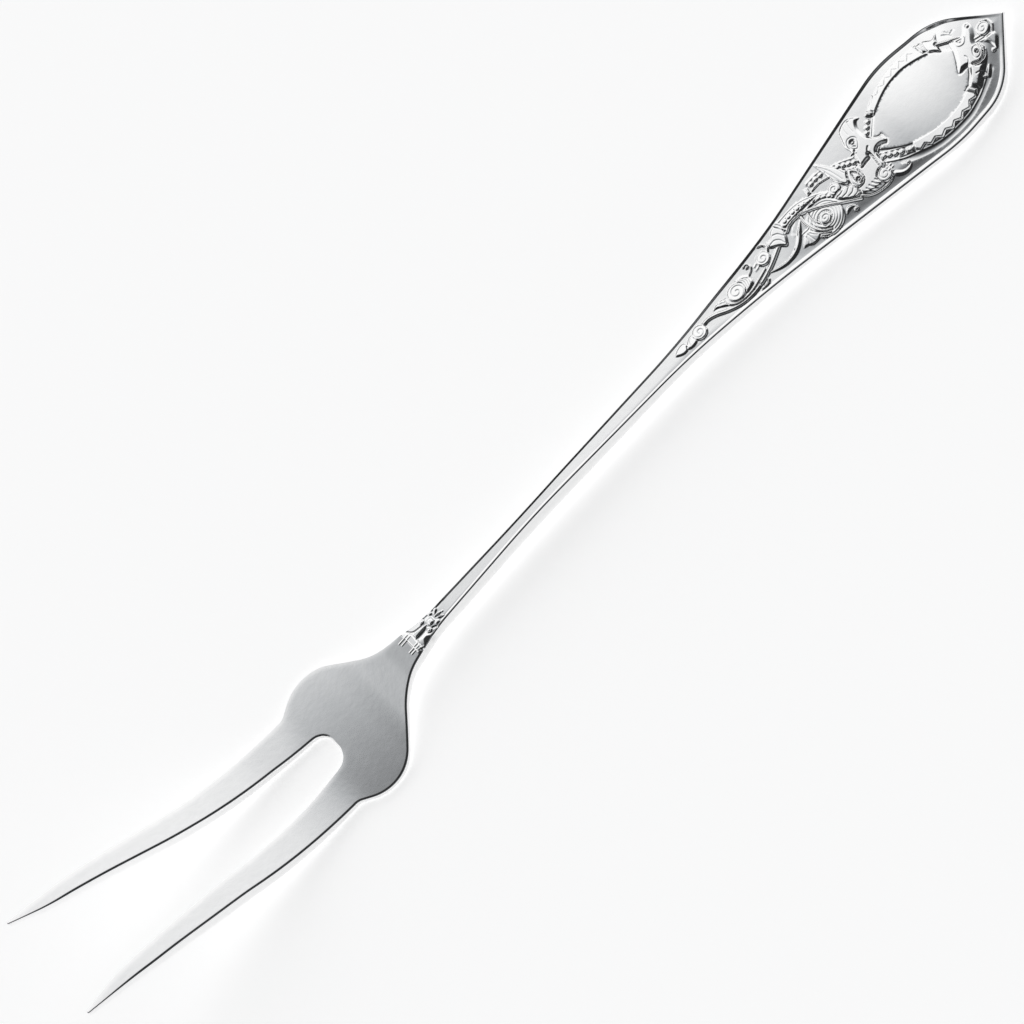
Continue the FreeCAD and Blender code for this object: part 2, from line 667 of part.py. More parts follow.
# Middle level: stems, ribbons, spirals, toothed bands and the beasts' bodies.
MIDDLE = [
    leaf((33.2, 0.2), (34.3, 0.9), (35.6, 0.6), (35.6, -0.5), (34.3, -0.6)),
    disc(36.5, 0.48, 0.5),
    disc(36.5, -0.38, 0.48),
    spiral(38.9, 0.2, 1.05, 1.25, 0, 0.5),
    ribbon(0.65, (39.9, -0.2), (41.6, 0.05), (43.5, -0.85), (45.5, -1.8), (47.6, -2.0)),
    spiral(47.9, 0.5, 1.3, 1.25, 270, 0.55),
    ring(52.6, 2.4, 0.75, 0.35),
    ribbon(0.9, (47.6, -1.2), (50, -1.8), (52, -1.6), (55, -0.7), (58.8, 1.0)),
    ribbon(0.5, (51.8, -2.8), (53.0, -2.6), (53.4, -1.8)),
    spiral(55.2, 1.4, 1.2, 1.25, 20, 0.5),
    ribbon(0.45, (56.2, 1.6), (56.7, 2.6), (56.3, 3.5)),
    leaf((59.4, -0.3), (58.0, 1.0), (57.2, 2.6), (58.6, 3.6), (60.3, 4.3), (60.9, 2.6)),
    leaf((54.2, -1.5), (56, -2.6), (58, -2.9), (60.5, -2.2), (62.8, -0.4), (64.1, 1.7),
         (62.4, 0.7), (60.2, -1.0), (57.4, -1.9)),
    ribbon(0.95, (64.6, 2.1), (64.4, 0), (64.9, -2.2), (66.1, -4.3)),
    ribbon(0.45, (65.7, 1.7), (65.5, -0.8), (66.4, -2.8)),
    ribbon(0.4, (67.6, 0.3), (69.4, -0.9), (69.5, -2.9), (67.8, -4.1)),
    ribbon(0.45, (69.0, 0.2), (70.5, -1.9), (69.8, -4.2), (67.4, -5.2)),
    ribbon(0.45, (70.4, -4.6), (71.5, -4.1), (72.3, -4.6)),
    ribbon(0.35, (69.0, 3.6), (71.0, 3.8), (72.7, 3.1)),
    spiral(71.6, 0.6, 1.05, -1.25, 90, 0.5),
    leaf((71.2, -0.9), (72.3, -0.6), (73.5, -1.1), (72.4, -1.9)),
    ribbon(0.6, (71.7, -1.9), (72.6, -2.3), (73.8, -1.7)),
    ribbon(0.6, (72.4, -3.1), (73.3, -3.2), (74.3, -2.6)),
    ribbon(0.6, (73.2, -4.1), (74.0, -3.9), (74.8, -3.4)),
    ribbon(0.4, (73.9, -4.5), (75.5, -5.9), (77.2, -6.5), (79.5, -6.6), (80.9, -5.9)),
    ring(79.4, -4.7, 1.3, 0.4),
    leaf((80.3, -5.8), (81.5, -5.6), (83.0, -6.3), (84.4, -6.6), (84.1, -7.4), (82.4, -7.8), (80.9, -6.9)),
    leaf((78.0, 3.6), (78.9, 7.4), (81.3, 8.0), (83.2, 6.8), (82.1, 6.0), (81.8, 4.2), (82.3, 2.2),
         (83.4, 1.1), (84.2, 0.9), (84.1, -0.6), (83.3, -0.9), (82.4, -0.1), (81.5, -0.6), (80.9, 0.2),
         (80.0, -0.4), (77.7, -0.7), (77.8, 1.7)),
    ribbon(0.3, (74.5, 4.5), (76.3, 3.4), (78.1, 2.3)),
    ribbon(0.35, (75.6, 1.3), (76.6, 0.7), (77.7, 0.0)),
    ribbon(0.35, (82.5, 2.2), (83.7, 3.2), (84.9, 4.2)),
    ribbon(0.3, (81.7, -1.1), (83.3, -2.5), (85.0, -3.8)),
    ribbon(0.3, (81.2, -3.2), (83.0, -4.4), (84.9, -5.7)),
    teeth(7, 0.5, 1.15, (85.7, 5.2), (89.0, 6.6), (92.0, 7.4), (95.0, 7.4), (98.4, 6.6)),
    teeth(7, 0.5, 1.15, (99.4, -5.2), (96.0, -6.2), (93.0, -6.5), (90.0, -6.2), (86.0, -4.9)),
    ribbon(0.35, (86.0, 7.3), (88.5, 8.4), (91, 9.1), (94, 9.5), (97, 9.4), (99, 8.9)),
    ribbon(0.4, (82, -4.7), (85, -6.3), (88, -7.7), (90, -8.3), (93, -8.7), (96, -8.6), (98, -8.1),
           (100, -7.3), (104, -5.1)),
    leaf((99.3, 6.3), (99.8, 8.3), (101.3, 7.3), (102.3, 7.7), (101.8, 6.4), (101.2, 5.6),
         (100.9, 4.2), (99.9, 5.4)),
    ribbon(0.7, (101.2, 5.9), (103.0, 4.5), (104.9, 2.9)),
    leaf((106.9, 4.3), (107.4, 3.2), (106.2, 0.6), (106.6, -1.0), (105.8, -2.9), (103.3, -4.6),
         (101.0, -6.3), (99.7, -4.8), (101.8, -2.4), (100.3, -1.3), (101.3, -0.3), (102.2, 1.9),
         (102.9, 3.9), (104.9, 3.2)),
    spiral(108.3, 0.9, 1.6, 1.4, 270, 0.55),
]

# Highest level: eyes, beads, collars and the thread that crosses the stems.
HIGH = [
    disc(67.3, -1.9, 1.15),
    ribbon(0.5, (60.8, 1.6), (62, 2.4), (64, 2.5), (66, 1.8), (68, 0.7), (70, -0.9), (71.5, -2.5),
           (73.8, -4.5)),
    ribbon(0.35, (59.9, 4.3), (60.8, 3.2), (61.4, 2.0)),
    block((68.0, 3.4), (68.8, 3.3), (69.1, 4.6), (68.3, 4.7)),
    ring(76.0, -1.6, 1.35, 0.35),
    disc(76.0, -1.6, 0.5),
    disc(79.4, -4.7, 0.5),
    ribbon(0.35, (80.4, -4.3), (80.9, -4.3), (81.4, -4.3)),
    ribbon(0.35, (80.4, -5.0), (80.9, -5.0), (81.4, -5.0)),
    disc(83.7, -6.7, 0.4),
    ring(79.4, 4.1, 1.1, 0.35),
    disc(79.4, 4.1, 0.42),
    ribbon(0.35, (78.6, 5.5), (78.9, 6.5), (79.2, 7.4)),
    ribbon(0.35, (80.5, 5.6), (80.8, 6.6), (81.2, 7.6)),
    block((84.1, 5.9), (85.0, 4.6), (85.8, 5.2), (85.0, 6.7)),
    block((85.2, -4.2), (86.3, -5.1), (85.7, -6.2), (84.8, -5.3)),
    block((98.2, 8.9), (98.8, 6.4), (99.5, 6.3), (99.8, 8.5)),
    block((99.2, -4.9), (100.1, -4.3), (101.0, -5.9), (100.1, -6.6)),
    ring(105.2, -0.9, 1.1, 0.35),
    disc(105.2, -0.9, 0.42),
    disc(106.7, 3.9, 0.4),
    disc(108.3, 0.9, 0.4),
    disc(107.0, -3.1, 0.4),
    disc(72.2, -5.1, 0.4),
    disc(51.6, 2.7, 0.4),
    *beads((61.9, 3.6), (66.0, 3.2), 5),
    *beads((66.9, 2.7), (70.1, 0.8), 4),
    *beads((69.7, 4.8), (71.7, 4.8), 3),
    *beads((75.1, 3.3), (77.3, 1.5), 4),
    *beads((82.4, 3.6), (83.7, 5.2), 3),
    *beads((81.75, -2.0), (84.15, -4.2), 4),
]

# The small flower where the neck runs into the stem.
NECK = [
    block((-32.6, -2.0), (-31.5, -2.0), (-31.5, 2.0), (-32.6, 2.0)),
    ribbon(0.35, (-34.0, 1.6), (-32.8, 1.55), (-31.6, 1.5)),
    ribbon(0.35, (-34.0, -1.4), (-32.8, -1.35), (-31.6, -1.3)),
    leaf((-28.7, 0.4), (-30.2, 1.1), (-31.3, 1.0), (-31.3, 0.3)),
    leaf((-28.7, -1.2), (-30.2, -0.3), (-31.3, -0.4), (-31.2, -1.2)),
    ring(-28.6, 1.1, 0.5, 0.22),
    ring(-28.6, -0.7, 0.5, 0.22),
    block((-28.0, -1.2), (-27.6, -1.2), (-27.6, 1.2), (-28.0, 1.2)),
    disc(-26.9, 0.85, 0.42),
    disc(-26.9, -0.7, 0.42),
    leaf((-24.8, -0.05), (-26.0, 0.4), (-27.4, 0.1), (-26.0, -0.4)),
]


def add_carving(name, faces, zone):
    feature = doc.addObject("Part::Feature", name)
    feature.Shape = raised(faces, zone)
    return feature


def cut_field(base):
    """Sink the field of the handle's front between its rims."""
    field = doc.addObject("Part::Feature", "Field")
    field.Shape = make_field()
    sunk = doc.addObject("Part::Cut", "SunkField")
    sunk.Base = base
    sunk.Tool = field
    doc.recompute()
    return sunk


def neck_faces():
    """The neck's flower, moved from its place beside the handle's drawing to the neck."""
    drawn = at(DRAWN_NECK, 0).x
    return [face.translated(Vector(at_station(NECK_END) - drawn, 0, 0)) for face in NECK]


def carve(base):
    """Add the carving of the handle and the neck to the fork."""
    neck_zone = handle_layer(-size("carving_root"), size("neck_carving"))
    levels = [
        add_carving("LowCarving", LOW, handle_zone(size("carving_low"))),
        add_carving("MiddleCarving", MIDDLE, handle_zone(size("carving_middle"))),
        add_carving("HighCarving", HIGH, handle_zone(size("carving_high"))),
        add_carving("NeckCarving", neck_faces(), neck_zone),
    ]
    fork = doc.addObject("Part::MultiFuse", "ServingFork")
    fork.Shapes = [base] + levels
    doc.recompute()
    return fork


def check_model():
    """Stop before anything is written if an object of the model is broken."""
    for item in doc.Objects:
        if "Invalid" in item.State or "Error" in item.State:
            raise RuntimeError(f"{item.Name} is {item.State}")
        if not item.isDerivedFrom("Part::Feature"):
            continue
        if item.Shape.isNull() or not item.Shape.isValid():
            raise RuntimeError(f"{item.Name} has a broken shape")


fork = carve(cut_field(round_stem(make_blank())))
fork.Label = "serving_fork"
check_model()
if len(fork.Shape.Solids) != 1:
    raise RuntimeError("the fork is not one solid")
os.makedirs("parts", exist_ok=True)
fork.Shape.exportStep(os.path.join("parts", fork.Label + ".step"))
print("written", fork.Label, round(fork.Shape.Volume, 1), "cubic millimetres")
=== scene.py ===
import math
import bpy
import numpy as np
from mathutils import Matrix, Vector, geometry, kdtree


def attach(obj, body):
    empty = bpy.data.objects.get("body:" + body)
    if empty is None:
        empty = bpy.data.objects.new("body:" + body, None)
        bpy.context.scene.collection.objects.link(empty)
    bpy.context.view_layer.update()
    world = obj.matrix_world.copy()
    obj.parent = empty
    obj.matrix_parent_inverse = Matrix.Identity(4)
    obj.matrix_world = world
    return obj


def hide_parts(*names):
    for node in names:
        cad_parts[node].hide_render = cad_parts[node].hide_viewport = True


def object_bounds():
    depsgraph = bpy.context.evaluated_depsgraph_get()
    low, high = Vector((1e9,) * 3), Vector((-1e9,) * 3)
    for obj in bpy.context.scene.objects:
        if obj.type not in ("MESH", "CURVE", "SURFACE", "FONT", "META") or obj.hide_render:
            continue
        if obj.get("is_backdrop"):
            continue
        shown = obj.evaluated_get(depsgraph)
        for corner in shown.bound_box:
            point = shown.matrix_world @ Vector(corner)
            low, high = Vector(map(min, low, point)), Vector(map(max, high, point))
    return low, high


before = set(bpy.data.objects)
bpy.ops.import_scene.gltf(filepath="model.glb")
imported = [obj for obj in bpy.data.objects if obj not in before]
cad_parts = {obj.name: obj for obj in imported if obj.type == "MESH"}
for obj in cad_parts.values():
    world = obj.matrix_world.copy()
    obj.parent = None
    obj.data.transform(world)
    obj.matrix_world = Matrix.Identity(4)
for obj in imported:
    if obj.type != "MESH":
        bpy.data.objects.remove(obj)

# Serving fork in polished silver. The fork is one closed mesh: a front and a back sheet on the
# fork's plan outline, joined by its side walls. x runs from the tines' tips to the handle's point, and
# the camera looks from the -Y side. Lengths are in millimetres until the mesh is made.
MM = 0.001
low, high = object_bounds()
TIP = (high.x - low.x) / 2 / MM

# Side view of the front surface: (x, z, radius of the rounded corner).
FRONT = [
    (-TIP, 22.14, 0), (-99.5, 17.7, 105), (-68.3, 1.4, 54), (-46.8, 1.4, 30), (-35.0, 5.3, 15),
    (0.0, 5.95, 300), (44.0, 4.45, 150), (61.0, 3.28, 150), (89.5, 3.0, 60), (102.0, 1.5, 40),
    (TIP, 2.8, 0),
]
# Side view of the back surface.
BACK = [
    (-TIP, 20.9, 0), (-99.5, 15.2, 105), (-71.8, 0.0, 48), (-48.2, 0.0, 10), (-36.4, 2.85, 10),
    (-22.0, 2.2, 40), (44.0, 2.2, 200), (89.5, 1.55, 30), (99.0, 0.0, 8), (104.2, 0.0, 8),
    (TIP, 1.4, 0),
]
# Half of the plan: (x, half width, radius), from the slot's root round a tine to the handle's point.
HALF_PLAN = [
    (-54.0, 0.0, 0), (-54.0, 3.4, 2.9), (-65.0, 4.75, 30), (-84.0, 6.15, 80), (-105.5, 9.1, 30),
    (-TIP, 11.2, 0.25), (-TIP, 11.85, 0.25), (-99.0, 11.75, 60), (-81.0, 10.75, 60),
    (-58.0, 10.88, 2.2), (-50.1, 15.74, 8.3), (-38.2, 3.92, 14), (-27.6, 1.68, 30),
    (-4.0, 1.12, 300), (34.4, 1.88, 150), (56.1, 4.35, 200), (91.6, 11.15, 26),
    (103.2, 10.0, 11.5), (TIP, 0.0, 0),
]
# Where along x the neck's flower, the stem's channel and the handle's carving lie.
NECK_FROM = -35.5
NECK_TO = -23.0
FIELD_START = -24.0
CARVED_FROM = 31.0
# The step between the mesh's points on the carving, the share of a form's height that is shown on the
# handle, and how fast the plain oval falls away to both sides.
GRAIN = 0.105
RELIEF = 0.75
OVAL_BOW = 0.0018
# Height of a thread and depth of a cut, as shares of their width. Shade painted into a cut and beside a
# form, and the share of its height that the ground loses beside a form.
THREAD_HEIGHT = 0.26
CUT_DEPTH = 0.34
CUT_PAINTED_SHADE = 0.35
SIDE_PAINTED_SHADE = 0.4
SIDE_PRESS = 0.5
# The plan is drawn this much smaller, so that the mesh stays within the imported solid.
WITHIN_SOLID = 0.9998
# Rings of points on the rounded edges and the front's rim, as shares of their width.
FRONT_RINGS = (0.08, 0.2, 0.34, 0.5, 0.66, 0.82, 0.93, 1.01, 1.13)
BACK_RINGS = (0.1, 0.3, 0.6, 1.0)


def run(start, end, step):
    """Even points on a straight run, without its start."""
    count = max(1, math.ceil(np.linalg.norm(end - start) / step))
    return [start + (end - start) * k / count for k in range(1, count + 1)]


def rounded(corners, step):
    """Points along straight runs joined by tangent arcs, no further apart than step."""
    points = np.array([c[:2] for c in corners], float)
    path = [points[0]]
    for i in range(1, len(corners)):
        radius = corners[i][2]
        if radius and i < len(corners) - 1:
            back = points[i - 1] - points[i]
            ahead = points[i + 1] - points[i]
            back /= np.linalg.norm(back)
            ahead /= np.linalg.norm(ahead)
            turn = (math.pi - math.acos(np.clip(back @ ahead, -1, 1))) / 2
            reach = radius * math.tan(turn)
            start = points[i] + back * reach
            middle = (back + ahead) / np.linalg.norm(back + ahead)
            centre = points[i] + middle * radius / math.cos(turn)
            steps = max(2, math.ceil(radius * 2 * turn / step), math.ceil(turn * 5))
            side = np.sign(back[0] * ahead[1] - back[1] * ahead[0])
            path.extend(run(path[-1], start, step))
            arm = start - centre
            for k in range(1, steps + 1):
                angle = -side * 2 * turn * k / steps
                path.append(centre + arm @ np.array([[math.cos(angle), math.sin(angle)],
                                                     [-math.sin(angle), math.cos(angle)]]))
        else:
            path.extend(run(path[-1], points[i], step))
    return np.array(path)


def soft_step(value, start, end):
    """0 up to start, 1 from end on, and a smooth rise between."""
    share = np.clip((value - start) / (end - start), 0, 1)
    return share * share * (3 - 2 * share)


front_path = rounded(FRONT, 0.3)
back_path = rounded(BACK, 0.3)


def front_height(x):
    return np.interp(x, front_path[:, 0], front_path[:, 1])


def back_height(x):
    return np.interp(x, back_path[:, 0], back_path[:, 1])


# The fork's outline in plan, anticlockwise from above, starting at the slot's root.
half = rounded(HALF_PLAN, 0.45)
lower_half = half[1:] * (1, -1)
outline = np.vstack([lower_half, half[-2:0:-1]])
outline = np.vstack([half[:1], outline]) * WITHIN_SOLID


def outward_normals(loop):
    """Unit normals of a closed loop and how much a corner stretches an inset."""
    before = loop - np.roll(loop, 1, axis=0)
    after = np.roll(loop, -1, axis=0) - loop
    before /= np.linalg.norm(before, axis=1)[:, None]
    after /= np.linalg.norm(after, axis=1)[:, None]
    tangent = before + after
    tangent /= np.linalg.norm(tangent, axis=1)[:, None]
    stretch = 1 / np.clip((tangent * after).sum(1), 0.5, 1)
    return np.stack([tangent[:, 1], -tangent[:, 0]], 1), stretch


normals, stretch = outward_normals(outline)
outline_tree = kdtree.KDTree(len(outline))
for number, spot in enumerate(outline):
    outline_tree.insert((spot[0], spot[1], 0), number)
outline_tree.balance()


def edge_distance(points):
    """Distance of each point to the outline, and how far that edge faces the camera's side."""
    nearest = np.array([outline_tree.find((p[0], p[1], 0))[1] for p in points])
    best = np.full(len(points), np.inf)
    for shift in (-1, 0):
        a = outline[(nearest + shift) % len(outline)]
        b = outline[(nearest + shift + 1) % len(outline)]
        along = b - a
        share = np.clip(((points - a) * along).sum(1) / (along * along).sum(1), 0, 1)
        best = np.minimum(best, np.linalg.norm(points - a - along * share[:, None], axis=1))
    return best, near_side(normals[nearest], points[:, 0])


def near_side(normal, x):
    """1 on edges that face -Y, 0 on edges that face +Y, and a half at the handle's point."""
    share = soft_step(-normal[:, 1], -0.5, 0.5)
    return share + (0.5 - share) * soft_step(x, TIP - 6, TIP - 2)


def widening(x):
    """0 along the slim stem, 1 along the handle."""
    return soft_step(x, 30, 62)


def rim_crest(x, near):
    """Distance from the outline to the crest of the rim; the -Y rim is broader."""
    return 0.12 + 0.04 * widening(x) + 0.24 * near


def rim_foot(x, near):
    """Distance from the outline to the rim's inner foot."""
    return 0.36 + 0.18 * widening(x) + (0.3 + 0.16 * widening(x)) * near


def field_depth(x):
    """Depth of the stem's channel and of the handle's field."""
    return 0.13 + 0.12 * widening(x)


def front_edge(x, near):
    """Radius of the front's edges, which from the neck on is the rim's crest."""
    far = 0.12
    tine = 0.2 + 0.3 * soft_step(x, -TIP, -100)
    plain = far + (tine - far) * near
    return plain + (rim_crest(x, near) - plain) * soft_step(x, -34, -26)


def back_edge(x, near=0):
    """Radius of the back's edges, the same on both sides."""
    tine = 0.2 + 0.3 * soft_step(x, -TIP, -90)
    stem = tine + 0.35 * soft_step(x, -40, -27)
    return stem - 0.35 * soft_step(x, 36, 60)


def drop(distance, radius):
    """How far a rounded edge lies below the surface beside it."""
    gap = np.clip(radius - distance, 0, None)
    return radius - np.sqrt(np.clip(radius * radius - gap * gap, 0, None))


def field_share(x):
    """0 before the stem's channel starts, 1 along it and along the handle."""
    return soft_step(x, FIELD_START - 6, FIELD_START + 2)


def smooth(points, step=0.15, closed=False):
    """A smooth line through points."""
    spots = np.array(points, float)
    if closed:
        spots = np.vstack([spots[-1:], spots, spots[:2]])
    else:
        spots = np.vstack([2 * spots[0] - spots[1], spots, 2 * spots[-1] - spots[-2]])
    line = []
    for i in range(1, len(spots) - 2):
        p0, p1, p2, p3 = spots[i - 1:i + 3]
        count = max(2, math.ceil(np.linalg.norm(p2 - p1) / step))
        for k in range(count):
            t = k / count
            line.append(0.5 * (2 * p1 + (p2 - p0) * t + (2 * p0 - 5 * p1 + 4 * p2 - p3) * t * t
                               + (3 * p1 - p0 - 3 * p2 + p3) * t ** 3))
    if not closed:
        line.append(spots[-2])
    return np.array(line)


def travelled(line):
    """Distance from a line's start to each of its points."""
    return np.concatenate([[0], np.cumsum(np.linalg.norm(np.diff(line, axis=0), axis=1))])


def spot_at(line, length, at):
    """The spot on a line at a distance from its start."""
    return np.array([np.interp(at, length, line[:, i]) for i in (0, 1)])


def enclosed(points, loop):
    """Whether points lie inside a closed loop."""
    crossings = np.zeros(len(points), int)
    for a, b in zip(loop, np.roll(loop, -1, axis=0)):
        spans = (a[1] > points[:, 1]) != (b[1] > points[:, 1])
        picked = np.nonzero(spans)[0]
        across = a[0] + (points[picked, 1] - a[1]) * (b[0] - a[0]) / (b[1] - a[1])
        crossings[picked] += points[picked, 0] < across
    return crossings % 2 == 1


class Carving:
    """Heights of a carved surface above its ground, and how much shade is painted at each spot in a
    crevice.

    A form that is laid covers what lies under it, so the forms come in the order in which they
    overlap. panel marks the plain oval.
    """

    def __init__(self, points):
        self.points = points
        self.height = np.zeros(len(points))
        self.painted_shade = np.zeros(len(points))
        self.panel = np.zeros(len(points))

    def around(self, line, margin):
        """The points in the box round a line."""
        lowest = line.min(0) - margin
        highest = line.max(0) + margin
        inside = ((self.points > lowest) & (self.points < highest)).all(1)
        return np.nonzero(inside)[0]

    def measure(self, pick, line):
        """Distance of picked points to a line, and the share of its length and the y nearest to each."""
        start = line[:-1]
        along = line[1:] - start
        length = np.linalg.norm(along, axis=1)
        total = np.concatenate([[0], np.cumsum(length)])
        best = np.full(len(pick), np.inf)
        place = np.zeros(len(pick))
        level = np.zeros(len(pick))
        spots = self.points[pick]
        for k in range(len(start)):
            offset = spots - start[k]
            share = np.clip((offset @ along[k]) / max(length[k] ** 2, 1e-12), 0, 1)
            gap = np.hypot(offset[:, 0] - along[k, 0] * share, offset[:, 1] - along[k, 1] * share)
            closer = gap < best
            best[closer] = gap[closer]
            place[closer] = (total[k] + length[k] * share[closer]) / total[-1]
            level[closer] = start[k, 1] + along[k, 1] * share[closer]
        return best, place, level

    def lay(self, pick, inward, width, height, lean, gap=0.1):
        """Lay a form over what is there, with sides that slope over a width.

        inward is the distance inside the form's edge, lean lowers its top, and gap is how far beside
        it the ground is pressed down.
        """
        bow = np.clip(inward / width, 0, 1)
        rise = (height - np.clip(lean, -0.25, 0.25)) * bow
        over = inward > 0
        beside = (inward <= 0) & (inward > -gap)
        closeness = 1 + inward / gap
        self.height[pick[beside]] *= 1 - SIDE_PRESS * closeness[beside]
        # Shade is painted darker into the ground just beside the form.
        added_shade = SIDE_PAINTED_SHADE * closeness[beside]
        self.painted_shade[pick[beside]] = np.maximum(self.painted_shade[pick[beside]], added_shade)
        self.height[pick[over]] = rise[over]
        self.painted_shade[pick[over]] = 0
        self.panel[pick[over]] = 0

    def ribbon(self, points, width, height=0.45, end=None, gap=0.1):
        """A raised band along a smooth line; end is its width at the far end."""
        line = smooth(points)
        pick = self.around(line, width + gap)
        distance, place, level = self.measure(pick, line)
        end = width if end is None else end
        half_width = (width + (end - width) * place) / 2
        lean = 0.1 * (self.points[pick, 1] - level)
        self.lay(pick, half_width - distance, np.minimum(half_width, 0.32), height, lean, gap)

    def profile(self, path, width):
        """The points beside a line, and how high a round profile of that width stands on them."""
        pick = self.around(path, width)
        return pick, np.clip(1 - (2 * self.measure(pick, path)[0] / width) ** 2, 0, 1)

    def thread(self, points, width):
        """A thin raised line on what is there."""
        pick, share = self.profile(smooth(points), width)
        self.height[pick] += THREAD_HEIGHT * width * share
        self.painted_shade[pick] *= 1 - share

    def within(self, pick, line):
        """Distance inside a closed line, below zero outside it."""
        distance = self.measure(pick, np.vstack([line, line[:1]]))[0]
        return np.where(enclosed(self.points[pick], line), distance, -distance)

    def leaf(self, points, height=0.4, width=0.35, gap=0.1, sharp=False):
        """A closed form with a sloping border, leaning a little towards +Y."""
        line = np.array(points, float) if sharp else smooth(points, closed=True)
        pick = self.around(line, gap + 0.05)
        tilt = min(0.5 / np.ptp(line[:, 1]), 0.06) + 0.02 * soft_step(line[:, 0].mean(), 96, 101)
        lean = tilt * (self.points[pick, 1] - line[:, 1].mean())
        self.lay(pick, self.within(pick, line), width, height, lean, gap)

    def sink(self, points, level, width):
        """Bring what lies inside a closed line to one level."""
        line = smooth(points, closed=True)
        pick = self.around(line, 0)
        share = np.clip(self.within(pick, line) / width, 0, 1)
        self.height[pick] += (level - self.height[pick]) * share
        self.painted_shade[pick] *= 1 - share
        self.panel[pick] = np.maximum(self.panel[pick], share)

    def bead(self, x, y, radius=0.42, height=0.55, gap=0.1):
        """A round form, leaning a little towards +Y."""
        centre = np.array([[x, y]])
        pick = self.around(centre, radius + gap)
        distance = np.linalg.norm(self.points[pick] - centre, axis=1)
        lean = 0.08 * (self.points[pick, 1] - y)
        self.lay(pick, radius - distance, min(radius, 0.22), 0.7 * height, lean, 0.6 * gap)

    def beads(self, points, count, radius=0.42, height=0.55):
        """Beads at even steps along a smooth line."""
        line = smooth(points, 0.05)
        length = travelled(line)
        for k in range(count):
            x, y = spot_at(line, length, length[-1] * k / max(count - 1, 1))
            self.bead(x, y, radius, height)

    def spiral(self, x, y, radius, turns, start=0, height=0.45):
        """A disc with a line winding inwards from a start angle in degrees."""
        self.bead(x, y, radius, height)
        share = np.linspace(0, 1, 24 + int(24 * abs(turns)))
        angle = np.radians(start + 360 * turns * share)
        reach = (radius - 0.1) * (1 - 0.85 * share)
        self.cut(np.stack([x + reach * np.cos(angle), y + reach * np.sin(angle)], 1), 0.22)

    def circle(self, x, y, radius, width=0.22):
        """A cut circle."""
        angle = np.linspace(0, 2 * math.pi, 48)
        self.cut(np.stack([x + radius * np.cos(angle), y + radius * np.sin(angle)], 1), width)

    def line(self, points, width=0.22, closed=False):
        """A cut line."""
        path = smooth(points, closed=closed)
        self.cut(np.vstack([path, path[:1]]) if closed else path, width)

    def cut(self, path, width):
        """Cut a hollow line, no deeper than leaves its sides at a gentle slope."""
        pick, share = self.profile(path, width)
        self.height[pick] -= CUT_DEPTH * width * share
        # The cut gets painted shade, darkest along its middle.
        self.painted_shade[pick] = np.maximum(self.painted_shade[pick], CUT_PAINTED_SHADE * share)

    def hollow(self, points, width, depth, added_shade=0):
        """A soft trough along a line, where nothing is laid yet."""
        pick, share = self.profile(smooth(points), width)
        bare = np.abs(self.height[pick]) < 0.01
        self.height[pick] -= depth * share * bare
        # The trough gets painted shade over most of its width.
        self.painted_shade[pick] = np.maximum(self.painted_shade[pick], added_shade * soft_step(share, 0, 0.4) * bare)

    def teeth(self, points, count, low_reach, high_reach, height=0.4):
        """A band along a smooth line, with a row of teeth on the line's left."""
        path = smooth(points, 0.05)
        length = travelled(path)
        inner = []
        outer = []
        for k in range(2 * count + 1):
            at = length[-1] * k / (2 * count)
            here = spot_at(path, length, at)
            way = spot_at(path, length, at + 0.1) - spot_at(path, length, at - 0.1)
            way /= np.linalg.norm(way)
            inner.append(here)
            outer.append(here + np.array([-way[1], way[0]]) * (high_reach if k % 2 else low_reach))
        self.leaf(inner + outer[::-1], height, 0.2, gap=0.03, sharp=True)


LONG_LEAF = [(54.0, -1.4), (55.6, -2.5), (57.6, -3.0), (60, -2.7), (62.2, -1.1), (64.2, 1.6), (62.2, 0.3),
             (60.2, -1.4), (57.6, -2.2)]


def carve_buds(c):
    """The tail's end on the stem: two buds, and a stalk with a scroll and a leaf."""
    c.leaf([(33.0, 0.35), (34.0, 1.0), (35.4, 1.1), (35.9, 0.2), (35.2, -0.65), (34.1, -0.55)], 0.28, 0.26)
    c.line([(33.3, 0.35), (33.5, 0.65), (33.8, 0.7)], 0.2)
    c.leaf([(35.3, -0.5), (36.0, 0.5), (37.0, 1.1), (37.8, 0.8), (37.6, -0.6), (36.4, -0.95)], 0.3, 0.28)
    c.line([(37.2, 0.8), (36.5, 0.3), (36.2, -0.5)], 0.2)
    c.ribbon([(40.0, 0.7), (41.4, 0.75), (43.0, 0.15), (44.6, -0.8), (46.4, -1.6), (48.4, -2.05),
              (50.6, -2.0), (52.6, -1.5)], 0.9, 0.42)
    c.spiral(38.8, 0.15, 1.45, 1.5, 30, 0.48)
    c.leaf([(42.9, 1.25), (44.0, 1.6), (45.3, 1.5), (45.8, 0.5), (45.6, -0.4), (44.8, 0.1), (43.8, 0.8)],
           0.27, 0.27)
    c.line([(43.3, 1.1), (44.6, 0.35), (45.5, -0.2)], 0.18)
    c.line([(44.1, 1.35), (44.9, 0.9), (45.4, 0.3)], 0.18)
    c.circle(44.6, 1.15, 0.26, 0.2)


